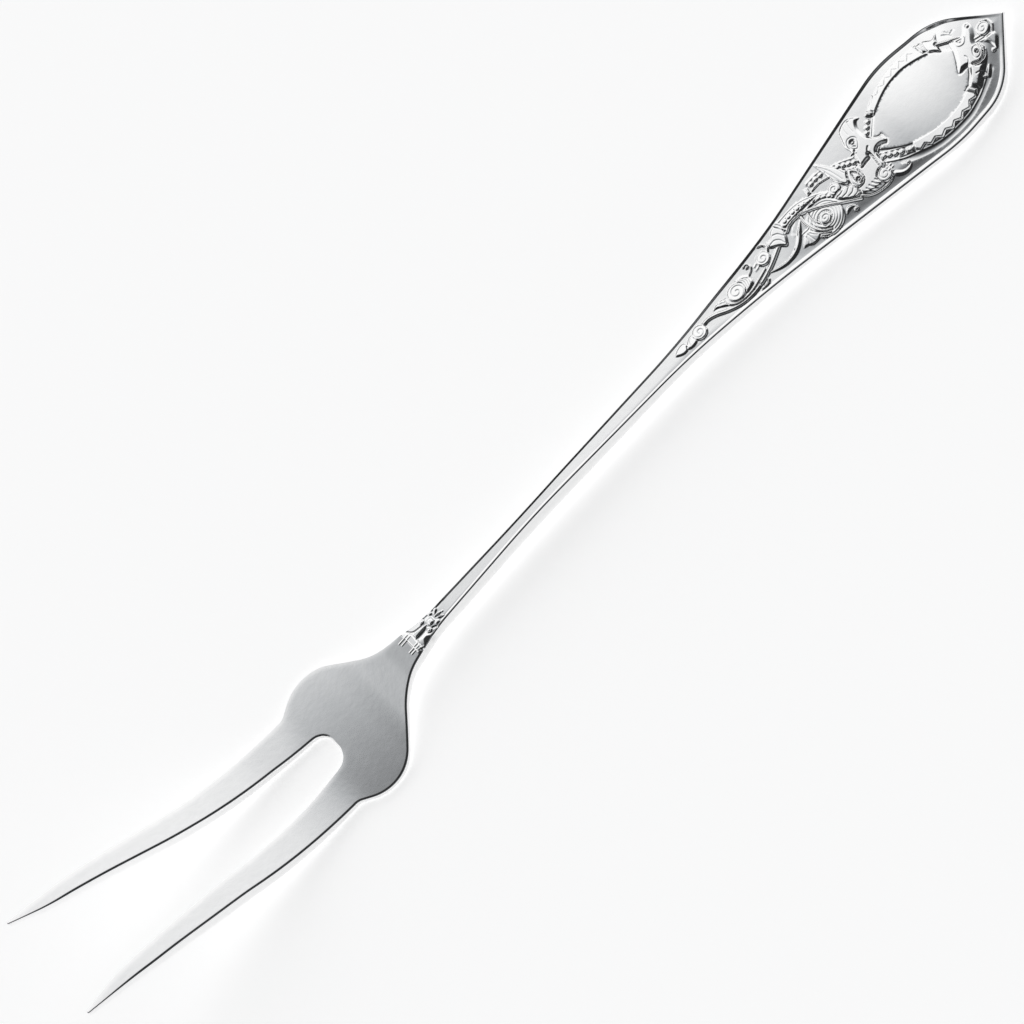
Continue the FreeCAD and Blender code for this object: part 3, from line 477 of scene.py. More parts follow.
def carve_tail(c):
    """The stalks of the tail, with a fan, scrolls, hooks and leaves."""
    c.leaf([(49.0, -1.1), (48.6, 1.7), (49.6, 2.3), (50.8, 1.9), (51.4, 0.7), (51.0, -0.7)], 0.3, 0.5)
    for k in range(5):
        c.line([(49.0 + 0.45 * k, 2.1 - 0.07 * k * k), (49.6 + 0.42 * k, 0.9 - 0.1 * k),
                (49.3 + 0.4 * k, -0.9)], 0.24)
    c.ribbon([(45.7, 1.1), (45.7, -0.2), (46.5, -1.1), (48.0, -1.55), (50.0, -1.5), (52.0, -1.0),
              (54.0, -0.4)], 0.62, 0.46)
    c.spiral(47.9, 0.4, 1.75, 1.7, 200, 0.52)
    c.ribbon([(51.4, 1.05), (52.2, 1.5), (52.6, 2.2), (52.3, 2.9), (51.6, 2.9)], 0.42, 0.42)
    c.bead(52.0, 2.45, 0.36, 0.5)
    c.ribbon([(51.5, -2.75), (52.6, -2.75), (53.2, -2.2), (53.0, -1.5)], 0.55, 0.4)
    c.leaf(LONG_LEAF, 0.42, 0.45)
    c.ribbon([(52.0, -1.75), (54.0, -1.15), (56.0, -0.3), (57.6, 0.5), (59.2, 1.3)], 1.0, 0.5)
    c.line([(48.5, -1.75), (51.0, -1.75), (54.0, -0.8), (57.4, 0.7)], 0.2)
    c.ribbon([(56.2, 1.5), (56.8, 2.4), (56.5, 3.3), (55.8, 3.7)], 0.5, 0.42)
    c.spiral(55.0, 1.35, 1.4, 1.6, 330, 0.5)
    c.thread([(53.0, 0.75), (53.8, 1.0)], 0.28)
    c.thread([(53.0, 1.45), (53.7, 1.75)], 0.28)
    c.leaf([(59.4, -0.4), (58.4, 0.6), (57.0, 1.8), (57.0, 3.1), (58.2, 3.0), (59.0, 4.0), (60.4, 4.2),
            (61.0, 2.8), (60.4, 0.9)], 0.42, 0.34)
    c.line([(57.3, 2.0), (58.4, 2.1), (59.2, 1.4), (59.5, 0.2)])
    c.line([(58.5, 3.2), (59.6, 2.6), (60.2, 1.4)])
    c.ribbon([(60.1, 4.3), (60.6, 3.2), (61.1, 1.9)], 0.36)
    c.thread([(60.7, 4.4), (61.1, 3.4), (61.6, 2.2)], 0.3)


def carve_rosette(c):
    """The row of beads, and the ringed scroll with two stalks round it and its tassel."""
    c.ribbon([(61.8, 3.1), (64.0, 3.2), (66.0, 2.8), (68.3, 1.6), (70.4, 0.3)], 1.7, 0.22)
    c.thread([(61.0, 4.2), (64.2, 4.2), (66.4, 3.7), (68.7, 2.5), (70.8, 1.0)], 0.22)
    c.beads([(62.0, 3.35), (64.2, 3.4), (66.4, 2.85), (68.6, 1.6), (70.2, 0.4)], 10, 0.52, 0.42)
    # The ringed scroll, with flat ground to its left, and the stalks on it.
    c.bead(67.1, -1.95, 3.55, 0.34)
    for radius in (2.95, 2.4, 1.9):
        c.circle(67.1, -1.95, radius, 0.2)
    c.leaf([(65.4, 1.9), (69.0, 2.2), (64.0, 2.6), (61.0, 1.0), (62.0, -1.0), (64.0, -1.2),
            (64.3, -3.0), (66.2, -4.9), (65.0, -4.6), (63.2, -1.8), (61.9, 0.9), (64.6, 2.2)],
           0.02, 0.3, gap=0.02)
    c.ribbon([(64.4, 2.0), (64.2, 0.2), (64.5, -1.8), (65.3, -3.4), (66.6, -4.4)], 0.95, 0.46, 0.6)
    c.ribbon([(65.8, 1.7), (65.45, 0.2), (65.55, -1.3), (66.3, -3.1)], 0.5, 0.46, 0.4)
    c.bead(67.1, -2.05, 1.4, 0.46)
    c.spiral(67.1, -2.05, 1.2, 1.4, 120, 0.5)
    # The tassel.
    c.leaf([(62.7, -1.3), (61.9, -1.9), (61.0, -2.9), (61.8, -3.3), (62.7, -3.9), (63.9, -3.9),
            (64.7, -3.3), (64.2, -2.3), (63.8, -1.4)], 0.26, 0.26)
    c.line([(62.6, -1.9), (62.4, -2.9), (61.9, -3.3)], 0.2)
    c.line([(63.1, -1.8), (63.2, -2.9), (63.3, -3.7)], 0.2)
    c.line([(63.5, -1.9), (63.9, -2.7), (64.3, -3.2)], 0.2)
    c.thread([(62.5, -1.3), (63.9, -1.45)], 0.3)
    c.thread([(62.5, -0.85), (63.7, -1.0)], 0.26)


def carve_long_stalk(c):
    """The long leaf and the long stalk over it, and what lies between them and the beasts."""
    c.leaf(LONG_LEAF, 0.42, 0.45)
    c.line([(55.4, -2.1), (57.8, -2.6), (60.2, -1.95), (62.4, -0.3)], 0.18)
    c.ribbon([(61.0, 1.55), (62, 2.1), (63.6, 2.2), (65.2, 1.75), (67, 0.75), (69, -0.75), (71, -2.5),
              (73.6, -4.6)], 0.62, 0.56)
    c.line([(61.4, 1.8), (63.6, 2.25), (65.4, 1.75), (69, -0.7), (71, -2.45)], 0.16)
    # A hook with a bead below the stalk, and a collar and three beads above it.
    c.leaf([(70.0, -4.6), (70.8, -3.7), (71.8, -4.1), (72.1, -4.8), (71.3, -4.5)], 0.26, 0.26)
    c.bead(71.8, -5.15, 0.45, 0.5)
    c.leaf([(67.7, 3.3), (68.5, 3.3), (68.8, 4.7), (67.9, 4.9)], 0.5, 0.3, sharp=True)
    c.line([(68.2, 3.5), (68.4, 4.6)])
    c.ribbon([(68.9, 3.45), (70.6, 3.45), (72.7, 2.8)], 0.34)
    c.thread([(69.0, 5.2), (70.7, 5.25), (72.2, 5.05)], 0.22)
    # The trough under the three beads has shade painted into it.
    c.hollow([(69.0, 4.55), (70.7, 4.6), (72.2, 4.45)], 1.2, 0.05, 0.7)
    c.beads([(69.55, 4.55), (70.65, 4.6), (71.7, 4.45)], 3, 0.5, 0.5)
    # A scroll and the braid under the lower beast's brow.
    c.spiral(71.6, 0.45, 1.2, -1.5, 100, 0.45)
    c.leaf([(70.7, -0.7), (71.6, -0.3), (73.2, -0.7), (74.3, -1.6), (75.0, -3.0), (74.3, -3.9),
            (73.3, -4.0), (72.0, -3.0), (71.1, -1.9)], 0.46, 0.35)
    for k in range(4):
        c.line([(70.9 + 0.75 * k, -1.1 - 0.8 * k), (71.9 + 0.7 * k, -1.15 - 0.75 * k),
                (72.8 + 0.6 * k, -0.75 - 0.72 * k)], 0.26)


def carve_plume(c):
    """The plume over the lower beast, and the row of beads behind it."""
    c.leaf([(72.1, 7.0), (73.9, 4.2), (75.4, 1.2), (74.9, -0.2), (73.6, -0.8), (72.6, 1.2), (72.4, 3.6)],
           0.4, 0.34)
    c.line([(72.3, 6.0), (73.3, 3.4), (73.8, 0.4)], 0.18)
    c.line([(72.6, 4.0), (72.9, 2.4), (73.2, 0.6)], 0.18)
    c.line([(72.6, 6.0), (74.1, 3.4), (74.7, 1.0)], 0.18)
    c.thread([(74.0, 4.0), (75.8, 3.1), (77.5, 2.05)], 0.22)
    c.thread([(75.4, 1.3), (76.3, 0.7), (77.4, -0.1)], 0.36)
    # The trough under the beads has shade painted into it.
    c.hollow([(74.4, 3.1), (77.3, 1.2)], 1.3, 0.08, 0.8)
    c.beads([(74.7, 3.0), (75.8, 2.2), (77.1, 1.3)], 4, 0.52, 0.52)


def carve_lower_beast(c):
    """The beast head with its jaw along the handle's lower edge."""
    c.leaf([(74.4, -2.8), (74.2, -4.2), (75.4, -5.4), (77.2, -5.9), (79.2, -5.9), (80.3, -5.2),
            (80.7, -4.0), (80.9, -2.4), (81.0, -1.2), (82.4, -0.1), (80.4, 0.8), (78.2, 0.4),
            (76.4, 0.4)], 0.56, 0.5)
    for k in range(4):
        c.line([(75.4 + 0.7 * k, -4.2), (75.6 + 0.72 * k, -4.9), (76.1 + 0.72 * k, -5.5)], 0.3)
    c.ribbon([(73.9, -4.2), (74.9, -5.3), (76.4, -6.1), (78.4, -6.45), (79.9, -6.1), (80.6, -5.3)],
             0.4, 0.44)
    # Its eye.
    c.leaf([(75.5, 1.25), (74.5, 0.2), (74.05, -1.4), (74.5, -2.9), (75.6, -3.2), (76.6, -2.4),
            (76.8, -1.0), (76.3, 0.4)], 0.56, 0.35)
    c.line([(75.5, 0.9), (74.8, 0.0), (74.45, -1.4), (74.9, -2.7)], 0.2)
    c.leaf([(75.6, 0.3), (75.05, -1.1), (75.2, -2.3), (75.75, -2.75), (76.3, -2.1), (76.3, -0.8)],
           0.62, 0.3)
    c.line([(75.6, -0.1), (75.35, -1.2), (75.4, -2.1), (75.8, -2.35), (76.05, -1.7), (75.9, -0.7)],
           0.26, closed=True)
    c.bead(75.65, -1.8, 0.38, 0.6)
    # Its scroll and the hook below.
    c.spiral(79.3, -4.75, 1.5, 1.5, 300, 0.6)
    c.thread([(80.2, -4.25), (81.1, -4.15)], 0.34)
    c.thread([(80.2, -4.85), (81.1, -4.75)], 0.34)
    c.leaf([(80.3, -5.5), (81.0, -5.8), (81.8, -6.6), (82.8, -6.9), (83.7, -6.6), (83.5, -7.2),
            (82.4, -7.6), (81.2, -7.3), (80.2, -6.4)], 0.44, 0.6)
    c.bead(83.3, -6.4, 0.45, 0.56)


def carve_upper_beast(c):
    """The beast head that bites the oval from the left."""
    c.leaf([(78.1, 3.0), (77.9, 4.6), (78.4, 6.2), (79.0, 7.5), (80.4, 8.2), (81.8, 8.1), (83.2, 6.6),
            (82.3, 6.2), (81.7, 4.8), (81.8, 3.0), (82.6, 1.7), (83.2, 1.2), (83.8, 1.1),
            (83.9, -0.2), (83.3, -0.9), (82.5, -0.4), (81.7, -0.3), (81.0, -1.0), (80.7, -3.4),
            (79.6, -3.4), (79.9, 0.0), (79.5, -0.5), (78.6, -0.55), (77.4, -0.7), (77.4, 0.2), (77.8, 1.6)],
           0.62, 0.5)
    c.line([(77.4, -0.75), (78.6, -0.6), (79.5, -0.55), (79.95, -0.1), (80.1, 0.6), (80.6, 1.1)], 0.5)
    c.line([(78.9, 7.2), (78.4, 5.8), (78.1, 4.8)], 0.2)
    c.line([(80.2, 7.6), (79.9, 6.6), (79.8, 5.6)], 0.16)
    c.line([(81.2, 7.6), (80.9, 6.4), (80.8, 5.2)], 0.16)
    c.line([(81.2, 7.55), (81.6, 7.4), (81.8, 7.7)], 0.2)
    c.circle(82.6, 6.7, 0.24, 0.2)
    c.line([(82.9, 0.9), (83.4, 0.8)])
    c.ribbon([(77.7, 2.6), (78.6, 2.55)], 0.26)
    c.thread([(77.7, 2.05), (78.6, 2.05)], 0.26)
    # Its eye.
    c.line([(79.2, 2.4), (78.5, 3.3), (78.4, 4.2), (79.0, 4.95), (79.9, 4.8), (80.35, 4.0), (80.0, 3.1)],
           0.24, closed=True)
    c.line([(79.25, 2.9), (78.85, 3.5), (78.85, 4.1), (79.3, 4.5), (79.85, 4.2), (79.8, 3.6)], 0.3)
    c.bead(79.35, 3.95, 0.4, 0.66)


def carve_bands(c):
    """The plain oval and the toothed bands round it."""
    oval = [(81.0, 0.5), (82.4, 2.1), (84.6, 4.3), (87, 5.65), (90, 6.8), (93, 7.2), (95, 7.0),
            (98, 6.1), (100.2, 4.8), (101.8, 3.2), (102.3, 1.5), (101.8, -1.5), (100.6, -3.4),
            (98.6, -5.0), (96, -5.9), (93, -6.25), (90, -5.9), (87, -5.0), (84.9, -3.9), (82.3, -1.6)]
    # The ground beside the lower band is sunk, with shade painted darker into it.
    c.hollow([(83.0, -5.3), (84.6, -6.4), (86.4, -7.3), (88.4, -8.0), (90.4, -8.4), (93, -8.55),
              (96, -8.35), (98, -7.8), (100.4, -6.9), (102.4, -6.0), (104.0, -5.0)], 1.4, 0.14, 0.3)
    c.hollow([(86.4, -6.9), (88.4, -7.4), (90.4, -7.7), (93, -7.85), (96, -7.65), (98, -7.2), (99.6, -6.7)],
             0.8, 0, 0.9)
    # The upper band and its zigzag.
    c.leaf([(85.2, 4.4), (89.0, 5.9), (93.0, 6.5), (97.6, 5.5), (98.8, 5.2), (98.9, 8.6), (96.0, 9.1),
            (93.0, 9.1), (89.0, 8.2), (85.3, 6.6)], 0.34, 0.5)
    for k in range(6):
        x = 86.4 + 1.82 * k
        y = 5.95 + 1.55 * math.sin((x - 84) / 19 * math.pi)
        c.line([(x, y), (x + 0.45, y + 0.45), (x + 0.95, y + 1.05)], 0.2)
        c.line([(x + 0.95, y + 1.0), (x + 1.25, y + 0.6), (x + 1.6, y + 0.35)], 0.14)
    # The lower band and the thread beside it.
    c.thread([(80.9, -3.3), (82.4, -4.55), (84, -5.6), (86.4, -6.75), (88.4, -7.6), (90.4, -8.1),
              (93, -8.3), (96, -8.1), (98, -7.6), (100, -6.9), (102.5, -5.6), (104.0, -4.5)], 0.36)
    c.teeth([(99.0, -4.6), (96.0, -5.7), (93.0, -6.0), (90.0, -5.7), (86.2, -4.4)], 7, 1.45, 2.15, 0.4)
    c.sink(oval, 0.17, 0.2)


def carve_collars(c):
    """The rows of beads and the collars at the bands' ends, and the hatching at the upper one."""
    # The beads above the oval and below it.
    # Each row of beads lies in a trough with shade painted into it.
    c.hollow([(81.8, 3.0), (84.2, 5.0)], 1.2, 0.06, 0.6)
    c.thread([(82.0, 2.05), (83.0, 3.05), (84.6, 4.5)], 0.3)
    c.beads([(82.15, 3.35), (82.9, 4.1), (83.6, 4.75)], 3, 0.52, 0.5)
    c.hollow([(80.9, -1.9), (84.3, -4.3)], 1.35, 0.08, 0.8)
    c.thread([(81.0, -1.2), (82.8, -2.5), (84.9, -4.0)], 0.24)
    c.beads([(81.25, -2.15), (82.5, -3.1), (83.8, -4.1)], 4, 0.56, 0.54)
    # The collars at the bands' left ends, then at their right ends.
    c.leaf([(83.9, 5.9), (84.7, 4.6), (85.6, 5.1), (84.9, 6.5)], 0.5, 0.4, sharp=True)
    c.line([(84.4, 6.1), (85.1, 4.9)])
    c.leaf([(84.7, -4.1), (86.0, -5.0), (85.4, -6.1), (84.1, -5.1)], 0.52, 0.4, sharp=True)
    c.line([(85.1, -4.5), (84.6, -5.4)])
    c.line([(85.6, -4.8), (85.1, -5.7)])
    c.leaf([(97.9, 8.7), (98.2, 6.3), (99.0, 6.1), (99.6, 8.4)], 0.46, 0.5, sharp=True)
    c.line([(98.3, 8.5), (98.1, 7.4)], 0.2)
    c.line([(99.2, 8.2), (98.8, 7.0), (98.8, 6.2)], 0.2)
    c.leaf([(98.4, -4.6), (99.4, -4.3), (100.4, -6.0), (99.3, -6.8)], 0.5, 0.4, sharp=True)
    c.line([(98.9, -4.7), (99.5, -6.1)])
    c.line([(99.3, -4.5), (100.0, -5.9)])
    # The tuft and the bar that lead to the right beast.
    c.leaf([(99.0, 5.9), (99.5, 8.2), (101.0, 7.2), (102.2, 7.7), (101.5, 6.5), (101.2, 5.8),
            (100.9, 5.1), (100.6, 4.0), (99.7, 5.0)], 0.46)
    c.ribbon([(100.9, 5.7), (102.6, 4.5), (104.7, 2.8)], 0.8, 0.45)
    # The hatching.
    c.line([(102.5, 6.4), (103.3, 5.6), (103.7, 4.9)], 0.18)
    c.line([(103.3, 6.5), (103.6, 5.8)], 0.18)
    c.line([(104.5, 5.5), (103.7, 5.3)], 0.18)


def carve_right_beast(c):
    """The beast head at the handle's point, laid over its tail and a small leaf."""
    c.leaf([(106.0, 0.0), (107.0, -0.4), (108.9, -0.9), (109.0, -2.0), (108.2, -3.0), (107.2, -3.6),
            (107.1, -2.0), (106.6, -1.0)], 0.36, 0.5)
    c.line([(106.5, -0.6), (107.5, -1.3), (107.7, -2.8)], 0.2)
    c.leaf([(102.8, -5.3), (104.4, -4.3), (104.0, -5.4), (103.0, -6.2)], 0.32, 0.4)
    c.leaf([(107.1, 4.2), (106.2, 4.5), (104.7, 3.3), (103.2, 4.1), (102.4, 4.1), (101.9, 2.4),
            (101.1, 0.8), (99.9, -1.1), (100.0, -1.6), (101.6, -1.9), (100.9, -3.0), (99.4, -4.6),
            (100.6, -6.3), (102.8, -4.9), (105.0, -3.4), (106.2, -1.6), (105.5, 0.2), (106.6, 1.8),
            (107.2, 3.0)], 0.6, 0.75)
    # The loop at the bar's end, then its mouth and cheek.
    c.thread([(103.1, 3.5), (103.2, 2.3), (104.1, 1.9), (105.0, 2.6)], 0.34)
    c.leaf([(103.4, 3.3), (104.5, 2.9), (103.8, 2.3)], 0.12, 0.2, sharp=True, gap=0.05)
    c.line([(100.0, -1.65), (101.3, -1.75), (102.3, -1.45), (102.8, -0.8), (102.7, -0.1)], 0.26)
    c.line([(102.8, -3.0), (103.2, -3.4), (103.9, -3.6)], 0.4)
    c.line([(101.9, -4.1), (102.6, -4.4), (103.0, -4.9)], 0.36)
    # Its brow and eye.
    c.ribbon([(102.7, -2.3), (103.8, -2.9), (105.0, -2.6), (105.9, -1.4), (105.7, -0.2)], 0.42, 0.62)
    c.line([(105.3, -0.2), (104.4, -0.3), (103.8, -1.2), (103.8, -2.1), (104.6, -2.2), (105.3, -1.4)],
           0.3, closed=True)
    c.bead(104.65, -1.2, 0.36, 0.66)
    # The knob of its crest, the ties and scroll of its tail, and two small beads.
    c.bead(106.6, 3.6, 0.42, 0.62)
    c.thread([(106.0, 0.9), (107.4, 0.3)], 0.36)
    c.thread([(105.8, 0.3), (107.2, -0.2)], 0.32)
    c.ribbon([(108.6, 2.2), (109.6, 1.4), (109.7, 0.2), (109.0, -0.7)], 0.42, 0.42)
    c.spiral(108.1, 0.95, 1.35, 1.5, 250, 0.48)
    c.bead(106.7, -3.3, 0.42, 0.5)
    c.bead(102.4, -5.4, 0.3, 0.5)


def carve_neck(c):
    """The small flower where the neck runs into the stem."""
    c.leaf([(-32.75, -2.1), (-31.5, -2.5), (-31.35, 0.9), (-32.1, 3.0), (-32.75, 3.0)], 0.2, 0.25,
           gap=0.16, sharp=True)
    for y, start in ((1.75, -34.1), (1.15, -33.9), (-0.85, -33.8), (-1.4, -33.7)):
        c.thread([(start, y), (-31.5, y - 0.05)], 0.22)
    c.line([(-32.75, 3.0), (-32.75, 2.1)], 0.2)
    c.line([(-32.75, 0.9), (-32.75, -0.6)], 0.2)
    c.line([(-32.0, 2.8), (-31.0, 1.35), (-29.2, 0.85)], 0.26)
    c.leaf([(-31.2, -0.5), (-29.6, -0.25), (-28.9, -0.9), (-28.9, -1.9), (-30.2, -2.1), (-31.2, -2.2)],
           0.3, 1.1, gap=0.14)
    c.leaf([(-28.3, 0.35), (-29.8, 0.85), (-31.3, 1.2), (-31.3, 0.0), (-29.0, 0.1)], 0.2, 0.2,
           gap=0.1, sharp=True)
    c.line([(-31.3, -0.15), (-30.0, -0.3), (-29.0, -0.1)], 0.3)
    for y, radius in ((1.45, 0.56), (-0.75, 0.6)):
        c.bead(-28.75, y, radius, 0.26, gap=0.14)
        c.circle(-28.75, y, 0.3, 0.2)
    c.line([(-28.35, 2.0), (-28.1, 1.3), (-28.3, 0.4)], 0.2)
    c.line([(-28.3, -0.2), (-28.1, -1.0), (-28.2, -1.5)], 0.2)
    c.leaf([(-28.0, 0.65), (-27.2, 0.6), (-27.2, -0.3), (-28.0, -0.3)], 0.22, 0.25, gap=0.14)
    c.line([(-28.0, -0.9), (-27.5, -1.2), (-27.3, -1.5)], 0.4)
    c.thread([(-27.0, 1.6), (-26.95, -1.1)], 0.34)
    for y in (1.35, -0.8):
        c.bead(-26.75, y, 0.46, 0.26, gap=0.14)
        c.circle(-26.75, y, 0.24, 0.18)
    c.leaf([(-26.3, 0.5), (-25.9, 1.3), (-25.2, 1.5), (-25.4, 0.8)], 0.24, 0.3, gap=0.14)
    c.leaf([(-26.6, 0.3), (-25.8, 0.45), (-24.9, -0.05), (-25.8, -0.15)], 0.26, 0.25, gap=0.14)
    c.leaf([(-26.4, -0.2), (-25.6, -0.35), (-25.1, -1.0), (-25.9, -0.8)], 0.24, 0.25, gap=0.14)
    c.bead(-24.9, -0.1, 0.2, 0.24)


HANDLE_PARTS = (carve_buds, carve_tail, carve_rosette, carve_long_stalk, carve_bands, carve_collars,
                carve_plume, carve_lower_beast, carve_upper_beast, carve_right_beast)


def carve(spots, parts):
    """The carving at a set of points, laid part over part."""
    carving = Carving(spots)
    for part in parts:
        part(carving)
    return carving


def grid(x_from, x_to, half_width, step):
    """Rows of points, every other row shifted by half a step, and how many rows there are."""
    xs = np.arange(x_from, x_to, step)
    ys = np.arange(-half_width, half_width + step, step)
    spots = np.array(np.meshgrid(xs, ys))
    spots[0, 1::2] += step / 2
    return spots.reshape(2, -1).T, len(ys)


def carved_grid():
    """Close points where the carving rises or falls, one in sixteen where it lies flat."""
    spots, rows = grid(CARVED_FROM, TIP, 11.0, GRAIN)
    carving = carve(spots, HANDLE_PARTS)
    level = (carving.height + 0.1 * carving.painted_shade).reshape(rows, -1)
    flat = 0.004
    busy = np.zeros(level.shape, bool)
    for levels, marks in ((level, busy), (level.T, busy.T)):
        change = np.abs(levels[1:] - levels[:-1]) > flat
        marks[1:] |= change
        marks[:-1] |= change
    row, column = np.indices(level.shape)
    sparse = (row % 4 == 0) & (column % 4 == 0)
    return spots[(busy | sparse).ravel()]


def triangulate(rings, fill):
    """A sheet over the outline: rings of points inside one another, then loose points."""
    spots = np.vstack(rings + [fill])
    edges = []
    start = len(rings[0])
    for ring in rings[1:]:
        count = len(ring)
        edges += [(start + k, start + (k + 1) % count) for k in range(count)]
        start += count
    border = list(range(len(rings[0])))
    inside_only = 1
    tolerance = 1e-5
    made = geometry.delaunay_2d_cdt([Vector(p) for p in spots], edges, [border], inside_only, tolerance)
    order = np.array([source[0] if source else -1 for source in made[3]])
    faces = np.array([face for face in made[2] if len(face) == 3])
    if (order < 0).any():
        raise RuntimeError("the sheet's rings cross")
    return spots, order[faces]


def inset_rings(shares, reach):
    """Closed rings inside the outline, at shares of a reach that varies along the fork."""
    rings = [outline]
    reached = reach(outline[:, 0], near_side(normals, outline[:, 0]))
    for share in shares:
        moved = outline - normals * (reached * share * stretch)[:, None]
        true_gap, true_near = edge_distance(moved)
        rings.append(moved[true_gap > 0.96 * reach(moved[:, 0], true_near) * share])
    return rings


def front_reach(x, near):
    """How far from the outline the edge or the rim goes."""
    plain = front_edge(x, near)
    return plain + (rim_foot(x, near) - plain) * field_share(x)


def front_fill():
    """Loose points inside the front's rings: close on the carving and the neck, wide on the plate."""
    neck, _ = grid(NECK_FROM, NECK_TO, 3.6, 0.09)
    stem, _ = grid(NECK_TO, CARVED_FROM, 2.0, 0.2)
    plate, _ = grid(-TIP, NECK_FROM, 15.0, 0.45)
    fill = np.vstack([carved_grid(), neck, stem, plate])
    fill = fill[enclosed(fill, outline)]
    gap, near = edge_distance(fill)
    clear = np.where(fill[:, 0] > NECK_FROM, 0.05, 0.2)
    return fill[gap > front_reach(fill[:, 0], near) * FRONT_RINGS[-1] + clear]


def field_dome(x, y):
    """The handle's field is bowed, and turned a little towards +Y."""
    return 0.3 - 0.02 * y - 0.2 * (y / 9.5) ** 2


def low_side(x, y):
    """The open field falls away a little more along its -Y side."""
    return 0.2 * (np.clip(-y - 5.5, 0, None) / 4.5) ** 2 * soft_step(x, 66, 84)


def bare_ground(x, y, gap, near):
    """Height of the channel and the field below the rim's crest, before they are carved."""
    foot = rim_foot(x, near)
    ground = field_dome(x, y) * soft_step(x, 46, 72) - field_depth(x)
    # The heel and the channel are turned towards +Y.
    ground -= (0.02 * y + 0.003 * y * y) * soft_step(x, 99, 104)
    ground -= 0.07 * y * (1 - soft_step(x, 32, 66))
    # Beside the -Y rim the field stays below the crest.
    ground -= np.clip(ground + 0.08, 0, None) * near * (1 - soft_step(gap, foot, foot + 2.4))
    return ground


def field_relief(spots, gap, near):
    """Height of the channel or field with its carving and its rim, and the shade painted into its crevices.
    """
    x, y = spots.T
    carving = carve(spots, HANDLE_PARTS)
    crest = rim_crest(x, near)
    foot = rim_foot(x, near)
    ground = bare_ground(x, y, gap, near)
    relief = RELIEF * carving.height - OVAL_BOW * y * y * carving.panel
    below = low_side(x, y) * (1 - soft_step(carving.height, 0.02, 0.1))
    field = ground + relief - below
    # The rim rises evenly from its foot to its crest, and high forms run a little way up it.
    rim = 1 - np.clip((gap - crest) / (foot - crest), 0, 1)
    slope = ground * (1 - rim)
    raised = np.where(rim > 0, np.maximum(slope, np.where(gap > crest, field, slope)), field)
    return raised, np.where(raised > field + 0.02, 0, carving.painted_shade)


def front_sheet():
    """Front points, their heights, the shade painted into their crevices, and the triangles."""
    rings = inset_rings(FRONT_RINGS, front_reach)
    spots, faces = triangulate(rings, front_fill())
    x, y = spots.T
    gap, near = edge_distance(spots)
    raised, painted_shade = field_relief(spots, gap, near)
    neck = carve(spots, [carve_neck])
    height = front_height(x) - drop(gap, front_edge(x, near)) + field_share(x) * raised
    height += neck.height * soft_step(gap, 0.05, 0.3)
    # The neck falls away at its +Y side, the shoulder is bowed across, and its far edge is eased.
    height -= 0.1 * np.clip(y - 0.9, 0, None) * soft_step(x, -33, -31) * (1 - soft_step(x, -26, -24))
    height -= 0.25 * (y / 13.0) ** 2 * soft_step(x, -66, -54) * (1 - soft_step(x, -46, -38))
    fade = np.clip(1 - gap / 0.8, 0, 1) ** 2
    height -= 0.03 * fade * (1 - near) * (1 - soft_step(x, -37, -31))
    painted_shade = np.maximum(painted_shade, neck.painted_shade * (x < FIELD_START + 1))
    return spots, height, painted_shade, faces


def back_sheet():
    """Back points, their heights, and the triangles."""
    rings = inset_rings(BACK_RINGS, back_edge)
    blade = grid(-TIP, -33, 15.0, 0.9)[0]
    stem = grid(-33, 40, 2.0, 0.5)[0]
    handle = grid(40, TIP, 11, 0.9)[0]
    fill = np.vstack([blade, stem, handle])
    fill = fill[enclosed(fill, outline)]
    fill = fill[edge_distance(fill)[0] > back_edge(fill[:, 0]) * 1.1 + 0.25]
    spots, faces = triangulate(rings, fill)
    x = spots[:, 0]
    return spots, back_height(x) + drop(edge_distance(spots)[0], back_edge(x)), faces


def build_fork():
    """The fork's mesh object, with the shade painted into the crevices at each point, for its material."""
    top, top_height, painted_shade, top_faces = front_sheet()
    under, under_height, under_faces = back_sheet()
    count = len(outline)
    shift = len(top)
    ring = np.arange(count)
    ahead = (ring + 1) % count
    wall = np.vstack([np.stack([ring, ring + shift, ahead], 1),
                      np.stack([ahead, ring + shift, ahead + shift], 1)])
    faces = np.vstack([top_faces, under_faces[:, ::-1] + shift, wall])
    points = np.vstack([np.column_stack([top, top_height]), np.column_stack([under, under_height])])
    mesh = bpy.data.meshes.new("serving_fork_silver")
    mesh.from_pydata((points * MM).tolist(), [], faces.tolist())
    mesh.validate()
    # Painted crevice shade at each point, read by the silver material.
    crevice_shade = mesh.attributes.new("crevice_shade", "FLOAT", "POINT")
    crevice_shade.data.foreach_set("value", np.concatenate([painted_shade, np.zeros(len(under))]).astype(np.float32))
    mesh.shade_smooth()
    fork = bpy.data.objects.new("serving_fork_silver", mesh)
    bpy.context.scene.collection.objects.link(fork)
    print("fork", len(points), "points", len(faces), "triangles")
    return fork


def new_material(name):
    """An empty node material, with its node tree."""
    material = bpy.data.materials.new(name)
    material.use_nodes = True
    material.node_tree.nodes.clear()
    return material, material.node_tree


def math_node(tree, operation, first, second):
    """A Math node that takes a socket, and another socket or a number."""
    node = tree.nodes.new("ShaderNodeMath")
    node.operation = operation
    tree.links.new(first, node.inputs[0])
    if isinstance(second, float):
        node.inputs[1].default_value = second
    else:
        tree.links.new(second, node.inputs[1])
    return node.outputs["Value"]


def ramp_node(tree, factor, stops):
    """A colour ramp through stops of (position, colour), driven by a socket."""
    node = tree.nodes.new("ShaderNodeValToRGB")
    elements = node.color_ramp.elements
    while len(elements) < len(stops):
        elements.new(0.5)
    for element, (position, colour) in zip(elements, stops):
        element.position = position
        element.color = colour
    tree.links.new(factor, node.inputs["Fac"])
    return node.outputs["Color"]


